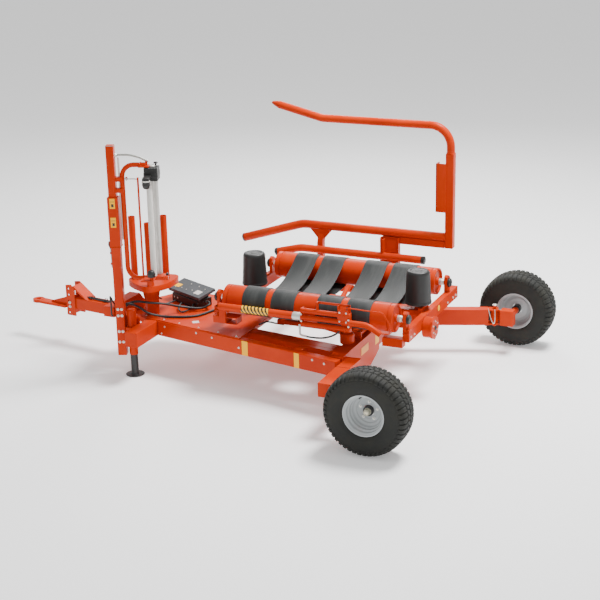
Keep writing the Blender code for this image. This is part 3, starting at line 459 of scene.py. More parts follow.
def carried(route, radius, around=24, across=(0, 0, 1), rounding=0.0):
    # rings along the route: radius may be one number or one per point; ends may be rounded off
    route = np.asarray(route, float)
    radius = np.broadcast_to(np.asarray(radius, float), len(route))
    tangent = np.gradient(route, axis=0)
    tangent /= np.linalg.norm(tangent, axis=1)[:, None]
    side = np.cross(tangent, np.asarray(across, float))
    side /= np.linalg.norm(side, axis=1)[:, None]
    over = np.cross(side, tangent)
    if rounding:
        lift = np.array([0.0, 0.3, 0.7])
        shrink = radius[0] - rounding + rounding * np.sqrt(1 - (1 - lift) ** 2)
        head = route[0] + tangent[0] * (lift[:, None] * rounding)
        shrinkEnd = radius[-1] - rounding + rounding * np.sqrt(1 - (1 - lift) ** 2)
        tail = (route[-1] - tangent[-1] * (lift[:, None] * rounding))[::-1]
        inner = slice(1, -1)
        route = np.concatenate([head, (route[0] + tangent[0] * rounding)[None], route[inner],
            (route[-1] - tangent[-1] * rounding)[None], tail])
        radius = np.concatenate([shrink, radius[:1], radius[inner], radius[-1:], shrinkEnd[::-1]])
        side = np.concatenate([side[:1]] * 4 + [side[inner]] + [side[-1:]] * 4)
        over = np.concatenate([over[:1]] * 4 + [over[inner]] + [over[-1:]] * 4)
    angle = np.linspace(0, 2 * np.pi, around, endpoint=False)[None, :, None]
    return route[:, None] + radius[:, None, None] * (side[:, None] * np.cos(angle)
        + over[:, None] * np.sin(angle))


def tubePiece(name, route, radius, body, finish, around=24, across=(0, 0, 1), rounding=0.0, **more):
    # rings carried along the route, joined by quads and capped at both ends
    rings = carried(route, radius, around, across, rounding)
    rows = len(rings)
    faces = gridFaces(rows, around).tolist() + endCaps(rows, around)
    return outward(makePiece(name, rings.reshape(-1, 3), faces, body, finish, **more))


def joined(parts):
    # several (points, faces) as one
    points, faces, start = [], [], 0
    for spots, sides in parts:
        spots = np.asarray(spots, float).reshape(-1, 3)
        points.append(spots)
        faces += [[i + start for i in side] for side in sides]
        start += len(spots)
    return np.concatenate(points), faces


def slabParts(low, high, place=np.eye(4)):
    # a box's eight corners and six sides
    low, high = np.asarray(low, float), np.asarray(high, float)
    pick = np.array([[0, 0, 0], [1, 0, 0], [1, 1, 0], [0, 1, 0], [0, 0, 1], [1, 0, 1], [1, 1, 1], [0, 1, 1]])
    sides = [[3, 2, 1, 0], [4, 5, 6, 7], [0, 1, 5, 4], [1, 2, 6, 5], [2, 3, 7, 6], [3, 0, 4, 7]]
    return within(place, np.where(pick, high, low)), sides


def bevelled(piece, width, segments=2):
    # eases every edge sharper than 40 degrees
    trim = piece.modifiers.new("edges", "BEVEL")
    trim.width, trim.segments = width, segments
    trim.limit_method, trim.angle_limit = "ANGLE", math.radians(40)
    trim.harden_normals = True
    return piece


def plates(name, boxes, body, finish, place=np.eye(4), edge=0.0015, **more):
    # boxes by their low and high corners, in one piece with eased edges
    piece = makePiece(name, *joined([slabParts(low, high, place) for low, high in boxes]), body, finish, **more)
    return bevelled(piece, edge)


def boltParts(spot, normal, size):
    # a washer, a six-sided head with a chamfer and the stud's end, as rings about the normal
    rings = [(1.15, 0.0, 24), (1.15, 0.12, 24), (0.86, 0.13, 6), (0.86, 0.72, 6), (0.74, 0.82, 6),
        (0.45, 0.83, 6), (0.42, 1.05, 6)]
    angle = np.linspace(0, 2 * np.pi, 24, endpoint=False)
    snapped = np.round(angle / (np.pi / 3)) * (np.pi / 3)
    turn = axisTurn(normal)
    points = []
    for radius, height, sides in rings:
        around = snapped if sides == 6 else angle
        ring = np.stack([radius * np.cos(around), radius * np.sin(around), np.full(24, height)], 1) * size
        points.append(ring @ turn.T + np.asarray(spot, float))
    faces = gridFaces(len(rings), 24).tolist() + [list(range((len(rings) - 1) * 24, len(rings) * 24))]
    return np.concatenate(points), faces


def bolts(name, spots, body, finish="zinc"):
    # spots are (place, normal, size)
    points, faces = joined([boltParts(*spot) for spot in spots])
    piece = makePiece(name, points, faces, body, finish, sharp=0)

    def merge(shape):
        bmesh.ops.remove_doubles(shape, verts=shape.verts, dist=1e-6)
        bmesh.ops.dissolve_degenerate(shape, edges=shape.edges, dist=1e-6)

    reworked(piece.data, piece.data, merge)
    return piece


def weldRing(centre, axis, radius, thick=0.0035, around=48):
    # a lumpy bead round a joint: a small ring whose thickness ripples with the angle
    angle = np.linspace(0, 2 * np.pi, around, endpoint=False)[:, None]
    small = np.linspace(0, 2 * np.pi, 8, endpoint=False)[None, :]
    bead = thick * (1 + 0.18 * np.sin(angle * 23))
    reach = radius + bead * np.cos(small)
    spots = np.stack([reach * np.cos(angle), reach * np.sin(angle), bead * np.sin(small) + 0 * angle], -1)
    return (spots @ axisTurn(axis).T + np.asarray(centre, float)).reshape(-1, 3), gridFaces(around, 8, True,
        True).tolist()


def weldLine(start, end, thick=0.0035):
    # a straight bead: a thin tube whose thickness ripples with a sine along it
    start, end = np.asarray(start, float), np.asarray(end, float)
    steps = max(4, int(np.linalg.norm(end - start) / 0.004))
    t = np.linspace(0, 1, steps)[:, None]
    across = (0, 0, 1) if abs((end - start)[2]) < 0.9 * np.linalg.norm(end - start) else (1, 0, 0)
    ripple = thick * (1 + 0.2 * np.sin(np.arange(steps) * 1.9))
    rings = carried(start + (end - start) * t, ripple, 8, across)
    faces = gridFaces(steps, 8).tolist() + endCaps(steps, 8)
    return rings.reshape(-1, 3), faces


def welds(name, parts, body):
    return outward(makePiece(name, *joined(parts), body, "orange"))


# steel that keeps its solid: a welded copy with its edges eased

easedEdges = {
    "side_beam": 0.007, "drawbar": 0.007, "front_cross_arm": 0.005, "rear_cross_member": 0.004,
    "near_axle": 0.006, "far_side_frame": 0.004, "rear_outrigger": 0.004, "front_outrigger": 0.004,
    "arm_clevis": 0.003, "deck_plate": 0.002, "mast": 0.005, "mast_bracket": 0.003, "valve_block": 0.006,
    "hitch_bracket": 0.002, "hitch_tongue": 0.003, "swing_arm": 0.006, "wheel_knuckle": 0.003,
    "tip_frame": 0.003, "table_frame": 0.004, "table_front_bar": 0.005, "table_rear_bar": 0.005,
    "loader_arms": 0.004, "film_mast_tube": 0.004, "reel_bracket": 0.002, "film_gearbox": 0.004,
    "jack_tube": 0.002, "drive_housing": 0.005, "tip_cylinder_barrel": 0.002, "tip_cylinder_rod": 0.001,
    "lift_cylinder_barrel": 0.002, "lift_cylinder_rod": 0.001,
}


def easedCopy(node, width):
    # the node's own solid, merged from its loose triangles, with its flats as single faces
    def merge(shape):
        bmesh.ops.remove_doubles(shape, verts=shape.verts, dist=2e-5)
        bmesh.ops.dissolve_limit(shape, angle_limit=math.radians(1.0), verts=shape.verts, edges=shape.edges)

    words = node.split("_")
    mesh = bpy.data.meshes.new(words[0] + "".join(word.title() for word in words[1:]))
    reworked(nodes[node].data, mesh, merge)
    return bevelled(dressed(mesh.name, mesh, bodyOf[node], cadFinish[slotOf[node]], node), width)


for node, width in easedEdges.items():
    easedCopy(node, width)
print("steel eased")

# wheels

tyreSizes = {"pitches": 48, "depth": 0.0085, "around": 576, "halfWidth": 0.132, "radius": 0.355,
    "rowEdge": 0.052}


def makeTyre(side):
    # the section is a smooth curve through its points; lugs stand out along the section's normal where
    # both the row pattern across the tread and the pitch pattern round it are high
    low, high = corners(side + "_tyre")
    centre, radius, half = (low + high) / 2, (high[2] - low[2]) / 2, (high[1] - low[1]) / 2
    section = np.array([
        (-0.1, 0.1672), (-0.118, 0.182), (-0.1295, 0.215), (-0.1315, 0.255), (-0.1285, 0.29), (-0.12, 0.314),
        (-0.108, 0.33), (-0.08, 0.3405), (-0.04, 0.3435), (0.0, 0.344),
    ])
    section = np.concatenate([section, section[-2::-1] * [-1, 1]])
    section *= [half / tyreSizes["halfWidth"], radius / tyreSizes["radius"]]
    smooth = easyRoute(np.column_stack([section, np.zeros(len(section))]), 9)[:, :2]
    y, r = smooth[:, 0], smooth[:, 1]
    slope = np.gradient(smooth, axis=0)
    normal = np.stack([-slope[:, 1], slope[:, 0]], 1) / np.linalg.norm(slope, axis=1)[:, None]
    around = tyreSizes["around"]
    theta = np.linspace(0, 2 * np.pi, around, endpoint=False)[:, None]
    across = np.abs(y)[None, :]
    turn = theta * tyreSizes["pitches"] / (2 * np.pi)
    ahead = np.where(y > 0, 0.5, 0.0)[None, :]

    def saw(value):
        return np.abs(value - np.round(value)) * 2      # 0 on each pitch, 1 between

    def step(value, low, high):
        return np.clip((value - low) / (high - low), 0, 1)

    wander = 0.006 * (saw(turn) - 0.5)
    middleGroove = step(np.abs(y[None, :] - wander), 0.0025, 0.0055)
    rowGroove = step(np.abs(across - tyreSizes["rowEdge"] - wander), 0.003, 0.006)
    shoulder = across > tyreSizes["rowEdge"]
    lean = np.where(shoulder, 1.2, 6.0) * across
    cross = saw(turn + ahead + lean)
    lateral = np.where(shoulder, step(cross, 0.26, 0.4), step(cross, 0.1, 0.22))
    reach = step(r[None, :], 0.3, 0.306)
    lug = middleGroove * rowGroove * lateral * reach * tyreSizes["depth"]
    ridges = [(0.0022, 0.29, 0.003), (0.0012, 0.205, 0.002)]       # height, radius, width
    ring = sum(height * np.exp(-((r[None, :] - at) / wide) ** 2) for height, at, wide in ridges)
    lift = lug + ring
    yy = y[None, :] + normal[None, :, 0] * np.where(across < half - 0.004, lift, 0.4 * ring)
    rr = r[None, :] + normal[None, :, 1] * lift
    rr = np.minimum(rr, radius)
    yy = np.clip(yy, -half, half)
    points = np.stack([rr * np.cos(theta), yy, rr * np.sin(theta)], -1) + centre
    # the closing strip runs across the bead seat inside the tyre
    faces = gridFaces(around, len(y), True, True)
    piece = makePiece(side + "Tyre", points, faces, side + "_wheel", "tyre", stands=side + "_tyre", sharp=28)
    outward(piece)


rimSizes = {"bolts": 5, "boltCircle": 0.074, "boltSize": 0.0105, "hubRadius": 0.043, "capRadius": 0.026}


def makeRim(side, outwardSign):
    centre, body = middle(side + "_rim"), side + "_wheel"
    axis = np.array([0.0, outwardSign, 0.0])
    # outer face: hub hole, disc, well steps and rolled lip; then back along the inside
    outer = [(0.046, -0.016), (0.066, -0.016), (0.072, -0.012), (0.096, -0.012), (0.104, -0.002),
        (0.122, 0.004), (0.131, 0.024), (0.137, 0.03), (0.138, 0.056), (0.149, 0.066), (0.151, 0.093),
        (0.158, 0.101), (0.166, 0.1145), (0.1735, 0.1155), (0.1735, 0.1115), (0.1655, 0.1002)]
    seat = [(0.1655, 0.03), (0.1655, -0.1002), (0.1735, -0.1115), (0.1735, -0.1155), (0.166, -0.1145),
        (0.158, -0.101)]
    inner = [(0.151, -0.093), (0.148, -0.05), (0.142, -0.02), (0.128, -0.004), (0.108, -0.01), (0.098, -0.02),
        (0.07, -0.02), (0.064, -0.024), (0.046, -0.024)]
    turnedPiece(side + "Rim", [*outer, *seat, *inner, outer[0]], centre, axis, body, "silver", cut=0.004,
        around=96, stands=side + "_rim")
    hub = rimSizes["hubRadius"]
    turnedPiece(side + "Hub", [(0, -0.0745), (hub - 0.01, -0.0745), (hub, -0.06), (hub, 0.004),
        (hub - 0.006, 0.01), (0, 0.01)], centre, axis, body, "soot", around=48)
    cap = rimSizes["capRadius"]
    turnedPiece(side + "HubCap", [(0, 0.009), (cap + 0.003, 0.009), (cap + 0.003, 0.016), (cap, 0.018),
        (cap, 0.042), (cap - 0.008, 0.052), (0.012, 0.0535), (0.01, 0.05), (0, 0.05)], centre, axis, body,
        "hub", around=48)
    angle = np.linspace(0, 2 * np.pi, rimSizes["bolts"], endpoint=False) + 0.35
    circle = rimSizes["boltCircle"]
    spots = [(centre + [circle * math.cos(a), outwardSign * -0.0125, circle * math.sin(a)], axis,
        rimSizes["boltSize"]) for a in angle]
    bolts(side + "WheelNuts", spots, body)
    stem = centre + np.array([0.048, outwardSign * 0.026, 0.122])
    tubePiece(side + "ValveStem", [stem, stem + axis * 0.022, stem + axis * 0.042], [0.0085, 0.007, 0.005],
        body, "rubber", 16)


for side in ("near", "far"):
    makeTyre(side)
for side, outwardSign in (("near", 1), ("far", -1)):
    makeRim(side, outwardSign)
print("wheels made")

# turntable

tableMiddle = middle("table_frame")
beltSizes = {"inner": 0.1228, "outer": 0.1284, "edge": 0.003, "upperLeave": 36.0, "lowerLeave": 4.2,
    "arcSteps": 60, "runSteps": 30}


def beltLoop(radius, span):
    # half the loop's outline: arcs round both drums, joined by hanging runs that leave each arc along its slope
    def run(leave):
        reach = span - radius * math.sin(leave)
        t = np.linspace(1, -1, beltSizes["runSteps"] + 2)[1:-1]
        return np.stack([reach * t, radius * math.cos(leave) - reach * math.tan(leave) / 2 * (1 - t * t)], 1)

    a = np.radians(np.linspace(-90 + beltSizes["lowerLeave"], 90 + beltSizes["upperLeave"],
        beltSizes["arcSteps"] + 1))
    near = np.stack([span + radius * np.cos(a), radius * np.sin(a)], 1)
    far = np.stack([-span - radius * np.cos(a[::-1]), radius * np.sin(a[::-1])], 1)
    lower = -run(-math.radians(beltSizes["lowerLeave"]))
    return np.concatenate([near, run(math.radians(beltSizes["upperLeave"])), far, lower])


def makeBelts():
    near, far = middle("near_roller"), middle("far_roller")
    span = (near[1] - far[1]) / 2
    height = (near[2] + far[2]) / 2
    centreY = (near[1] + far[1]) / 2
    for index in range(1, 5):
        low, high = corners(f"belt_{index}")
        # a thin strip's section: flat faces with rounded edges
        edge = np.linspace(-np.pi / 2, np.pi / 2, 7)
        soft = beltSizes["edge"]
        width = np.concatenate([high[0] - soft + soft * np.cos(edge), low[0] + soft - soft * np.cos(edge)])
        level = np.concatenate([0.5 + 0.5 * np.sin(edge), 0.5 - 0.5 * np.sin(edge)])
        inner, outer = beltLoop(beltSizes["inner"], span), beltLoop(beltSizes["outer"], span)
        loop = inner[:, None] * (1 - level)[None, :, None] + outer[:, None] * level[None, :, None]
        points = np.stack([np.broadcast_to(width, loop.shape[:2]), loop[..., 0] + centreY,
            loop[..., 1] + height], -1)
        faces = gridFaces(len(loop), len(width), True, True)
        outward(makePiece(f"belt{index}", points, faces, "turntable", "belt", stands=f"belt_{index}"))


rollerSizes = {"wall": 0.1218, "shaft": 0.0195, "drumHalf": 0.79}


def makeRollers():
    # a stepped outline, mirrored end for end, turned about the drum's axis
    for side in ("near", "far"):
        low, high = corners(side + "_roller")
        spot = (low + high) / 2
        drumHalf, shaft, wall = rollerSizes["drumHalf"], rollerSizes["shaft"], rollerSizes["wall"]
        shaftHalf = (high[0] - low[0]) / 2
        half = [(shaft, shaftHalf - 0.001), (shaft, drumHalf + 0.012), (0.034, drumHalf + 0.012),
            (0.036, drumHalf - 0.012), (0.104, drumHalf - 0.014), (0.11, drumHalf), (wall, drumHalf),
            (wall, drumHalf - 0.04), (wall - 0.008, drumHalf - 0.0405), (wall - 0.008, drumHalf - 0.0475),
            (wall, drumHalf - 0.048)]
        back = [(r, -h) for r, h in half[::-1]]
        turnedPiece(side + "Roller", [(0, shaftHalf), *half, *back, (0, -shaftHalf)], spot, (1, 0, 0),
            "turntable", "orange", cut=0.0012, around=96, stands=side + "_roller")
        for end, sign in (("Front", 1), ("Rear", -1)):
            face = spot + [sign * (drumHalf + 0.0125), 0, 0]
            turnedPiece(side + end + "Spacer", [(0.0197, 0), (0.03, 0), (0.03, 0.028), (0.026, 0.034),
                (0.026, 0.046), (0.0197, 0.046), (0.0197, 0)], face, (sign, 0, 0), "turntable", "zinc",
                cut=0.001, around=40)
            cap = spot + [sign * 0.8865, 0, 0]
            turnedPiece(side + end + "BearingCap", [(0, 0), (0.04, 0), (0.041, 0.004), (0.041, 0.018),
                (0.034, 0.026), (0.012, 0.028), (0, 0.028)], cap, (sign, 0, 0), "turntable", "black", around=48)


def makeCones():
    # a tapered moulding: a foot band and a stepped, rounded top
    for side in ("front", "rear"):
        low, high = corners(side + "_cone")
        spot = np.array([(low[0] + high[0]) / 2, (low[1] + high[1]) / 2, low[2]])
        wide, tall = (high[0] - low[0]) / 2, high[2] - low[2]
        outline = [(0.02, 0.004), (wide - 0.006, 0.0), (wide, 0.005), (wide, 0.02), (wide - 0.004, 0.028)]
        outline += [(0.101, tall - 0.022), (0.094, tall - 0.006), (0.082, tall - 0.001), (0.068, tall - 0.001),
            (0.064, tall - 0.005), (0.03, tall - 0.006), (0.026, tall - 0.002), (0, tall - 0.002)]
        turnedPiece(side + "Cone", [(0, 0.004), *outline], spot, up, side + "_cone", "black", cut=0.006,
            around=72, stands=side + "_cone")
        turnedPiece(side + "ConePin", headOutline(0.021, 0.008, 0.014, 0.01),
            [spot[0], spot[1], spot[2] - 0.014], up, "turntable", "zinc", cut=0.001, around=32)


makeBelts()
makeRollers()
makeCones()
print("turntable made")

# film cutter


cutterSizes = {"y": 0.608, "z": 0.76, "tube": 0.0325, "band": 0.0329, "sleeve": 0.0225, "tail": 0.025,
    "bail": 0.005, "hose": 0.008}


def makeCutter():
    # straight tubes along x, a bent tail and a thin bail, held by plates
    steel = ("turntable", "orange")
    y, z = cutterSizes["y"], cutterSizes["z"]
    tubePiece("cutterTube", [(0.045, y, z), (0.02, y, z), (-0.72, y, z), (-0.745, y, z)], cutterSizes["tube"],
        *steel, 32, rounding=0.003, stands="film_cutter")
    band = np.linspace(-0.18, -0.44, 4)
    tubePiece("cutterHazardBand", [(x, y, z) for x in band], cutterSizes["band"], "turntable", "hazard", 40)
    tubePiece("cutterCollar", [(-0.664, y, z), (-0.668, y, z), (-0.736, y, z), (-0.74, y, z)],
        [0.034, 0.036, 0.036, 0.034], "turntable", "zinc", 32)
    sleeves = [("Upper", 0.012, 0.822), ("Middle", 0.014, 0.764), ("Lower", 0.012, 0.702)]
    for name, shift, height in sleeves:
        tubePiece("cutterSleeve" + name, [(-0.74, y + shift, height), (-0.78, y + shift, height),
            (-1.12, y + shift, height), (-1.194, y + shift, height)], cutterSizes["sleeve"], *steel, 28,
            rounding=0.004)
        for index, x in enumerate((-0.79, -1.145)):
            turnedPiece(f"cutterGland{name}{index}", ringOutline(0.0225, 0.0265, 0, 0.012),
                (x, y + shift, height), (1, 0, 0), *steel, cut=0.001, around=28)
    tail = bentRoute([(-1.18, y + 0.012, z), (-1.345, y + 0.012, z), (-1.465, y + 0.012, z - 0.07)], 0.18)
    tubePiece("cutterTail", tail, cutterSizes["tail"], *steel, 28, across=(0, 1, 0), rounding=0.006)
    # end plates of the sleeves, then a frame that stands over them
    boxes = [((-0.757, y - 0.025, 0.682), (-0.743, y + 0.03, 0.842)),
        ((-1.19, y - 0.025, 0.682), (-1.176, y + 0.03, 0.842)),
        ((-1.185, y - 0.012, 0.893), (-0.885, y - 0.006, 0.913)),
        ((-0.897, y - 0.014, 0.835), (-0.885, y + 0.022, 0.913)),
        ((-1.189, y - 0.012, 0.835), (-1.165, y - 0.006, 0.913)),
        ((-1.185, y + 0.028, 0.745), (-1.085, y + 0.034, 0.875)),
        ((-1.091, y - 0.012, 0.835), (-1.085, y + 0.034, 0.905))]
    plates("cutterPlates", boxes, *steel, edge=0.002)
    # thin bail that keeps film off the arm's end
    bail = bentRoute([(-1.1, y + 0.036, 0.87), (-1.19, y + 0.036, 0.9), (-1.49, y + 0.036, 0.893),
        (-1.552, y + 0.036, 0.8), (-1.556, y + 0.036, 0.715), (-1.455, y + 0.022, 0.705)], 0.03)
    tubePiece("cutterBail", bail, cutterSizes["bail"], *steel, 12, across=(0, 1, 0))
    elbow = bentRoute([(-0.735, y + 0.03, 0.7), (-0.738, y + 0.032, 0.606), (-0.8, y + 0.03, 0.598)], 0.018)
    tubePiece("cutterElbow", elbow, 0.0095, "turntable", "pale", 18, across=(0, 1, 0))
    hose = easyRoute([(-0.79, y + 0.03, 0.599), (-0.84, y + 0.03, 0.596), (-0.93, y + 0.028, 0.6),
        (-1.01, y + 0.026, 0.622), (-1.07, y + 0.022, 0.655), (-1.105, y + 0.016, 0.69)])
    tubePiece("cutterHose", hose, cutterSizes["hose"], "turntable", "rubber", 14, across=(0, 1, 0.2))
    bolts("cutterBolts", [((x, y + 0.03, h), (0, 1, 0), 0.008) for x in (-0.75, -1.183) for h in (0.732, 0.792)]
        + [((x, y + 0.034, h), (0, 1, 0), 0.007) for x, h in ((-1.105, 0.77), (-1.165, 0.77), (-1.105, 0.85),
        (-1.165, 0.85))], "turntable")
    # folded box bracket on the table's front bar, and the stay up to the tube
    plates("cutterFrontBracket", [((-0.1, 0.4653, 0.65), (0.1285, 0.575, 0.655)),
        ((-0.1, 0.4653, 0.592), (0.1285, 0.575, 0.597)), ((-0.1, 0.4653, 0.596), (-0.094, 0.575, 0.651)),
        ((0.0, 0.4653, 0.596), (0.006, 0.575, 0.651)), ((0.12, 0.4653, 0.592), (0.1285, 0.575, 0.655)),
        ((0.0, 0.568, 0.6), (0.06, 0.59, 0.75)), ((0.055, 0.5735, 0.596), (0.122, 0.578, 0.655))], *steel,
        edge=0.0025)


makeCutter()
print("film cutter made")

# loading fork


forkSizes = {"y": -1.41, "z": 0.9775, "top": 2.05, "lower": 0.0425, "upper": 0.0385, "guard": 0.0375,
    "cap": 0.0432}


def makeFork():
    # each tine is a round tube carried along straight runs and arcs
    steel = ("loader", "orange")
    y, z, top = forkSizes["y"], forkSizes["z"], forkSizes["top"]
    route = bentRoute([(-1.3495, y, z), (0.14, y, z), (0.8, y, 0.77)], 0.35)
    tubePiece("lowerTine", route, forkSizes["lower"], *steel, 40, across=(0, 1, 0), rounding=0.004,
        stands="fork_lower_tine")
    plates("lowerTineBox", [((-1.3485, y - 0.04, 0.8755), (-0.8925, y + 0.04, 0.945))], *steel, edge=0.009)
    end, cap = route[-1], forkSizes["cap"]
    along = (end - route[-2]) / np.linalg.norm(end - route[-2])
    tubePiece("lowerTineCap", [end - along * 0.016, end - along * 0.002, end + along * 0.0025,
        end + along * 0.0035], [cap, cap, 0.04, 0.03], "loader", "black", 40, across=(0, 1, 0))

    route = bentRoute([(-1.39, y, 1.79), (-1.39, y, top), (-0.09, y, top), (0.36, y, 2.156)], 0.2, 14)
    tubePiece("upperTine", route, forkSizes["upper"], *steel, 40, across=(0, 1, 0), stands="fork_upper_tine")
    along = (route[-1] - route[-2]) / np.linalg.norm(route[-1] - route[-2])
    tip = [route[-1] + along * d for d in (-0.004, 0.0, 0.03, 0.06, 0.078, 0.084)]
    tubePiece("upperTineTip", tip, [0.0385, 0.0383, 0.03, 0.0205, 0.0145, 0.0095], *steel, 40, across=(0, 1, 0))
    plates("forkPost", [((-1.43, y - 0.04, 0.876), (-1.35, y + 0.04, 1.8))], *steel, edge=0.009)
    stop = [((-1.36, y + 0.0395, 1.23), (-1.26, y + 0.0505, 1.7)),
        ((-1.271, y - 0.036, 1.23), (-1.26, y + 0.0505, 1.7))]
    plates("forkStop", stop, *steel, edge=0.003)
    route = bentRoute([(-1.175, -1.3, 0.76), (0.12, -1.3, 0.76), (0.39, -1.3, 0.69)], 0.35)
    tubePiece("guardTube", route, forkSizes["guard"], *steel, 40, across=(0, 1, 0), stands="loader_guard_tube")
    for name, spot, way in (("guardCapRear", route[0], route[1] - route[0]),
            ("guardCapFront", route[-1], route[-2] - route[-1])):
        way = way / np.linalg.norm(way)
        ends = [spot + way * d for d in (-0.009, -0.007, -0.001, 0.026, 0.028)]
        tubePiece(name, ends, [0.018, 0.029, 0.0385, 0.0385, 0.0377], "loader", "black", 40, across=(0, 1, 0))
    beads = [weldLine((-1.3485, y + s * 0.0405, 0.878), (-1.3485, y + s * 0.0405, 0.942)) for s in (-1, 1)]
    beads += [weldRing((-1.3493, y, z), (1, 0, 0), forkSizes["lower"])]
    beads += [weldLine((-0.884, -1.3385, 0.72), (-0.716, -1.3385, 0.72)),
        weldLine((-0.884, -1.3385, 0.8), (-0.716, -1.3385, 0.8)),
        weldLine((-0.884, -1.372, 0.934), (-0.716, -1.372, 0.934)),
        weldLine((-0.1, -1.372, 0.934), (-0.04, -1.372, 0.934)),
        weldRing((-1.39, y, 1.802), up, forkSizes["upper"])]
    welds("forkWelds", beads, "loader")
    # flanges that make the rear arm a channel, and the spread gusset under the tine at the front arm
    plates("armFlanges", [((x, -1.3975, 0.66), (x + 0.01, -1.3385, 0.932)) for x in (-0.895, -0.715)]
        + [((-0.76, -1.335, 0.69), (-0.748, -1.275, 0.93))], *steel, edge=0.003)
    gusset = np.array([(-0.19, 0.948), (0.045, 0.948), (-0.045, 0.845), (-0.045, 0.8), (-0.1, 0.8),
        (-0.1, 0.845)])
    points = np.concatenate([np.column_stack([gusset[:, 0], np.full(6, level), gusset[:, 1]])
        for level in (-1.376, -1.368)])
    faces = gridFaces(2, 6).tolist() + endCaps(2, 6)
    bevelled(outward(makePiece("armGusset", points, faces, *steel)), 0.002)


makeFork()
print("loading fork made")

# film unit on the mast


filmSizes = {"bow": 0.021, "roller": 0.0258, "ringPitch": 0.0125, "ringDepth": 0.0012, "flutes": 24,
    "fluteDepth": 0.0014}


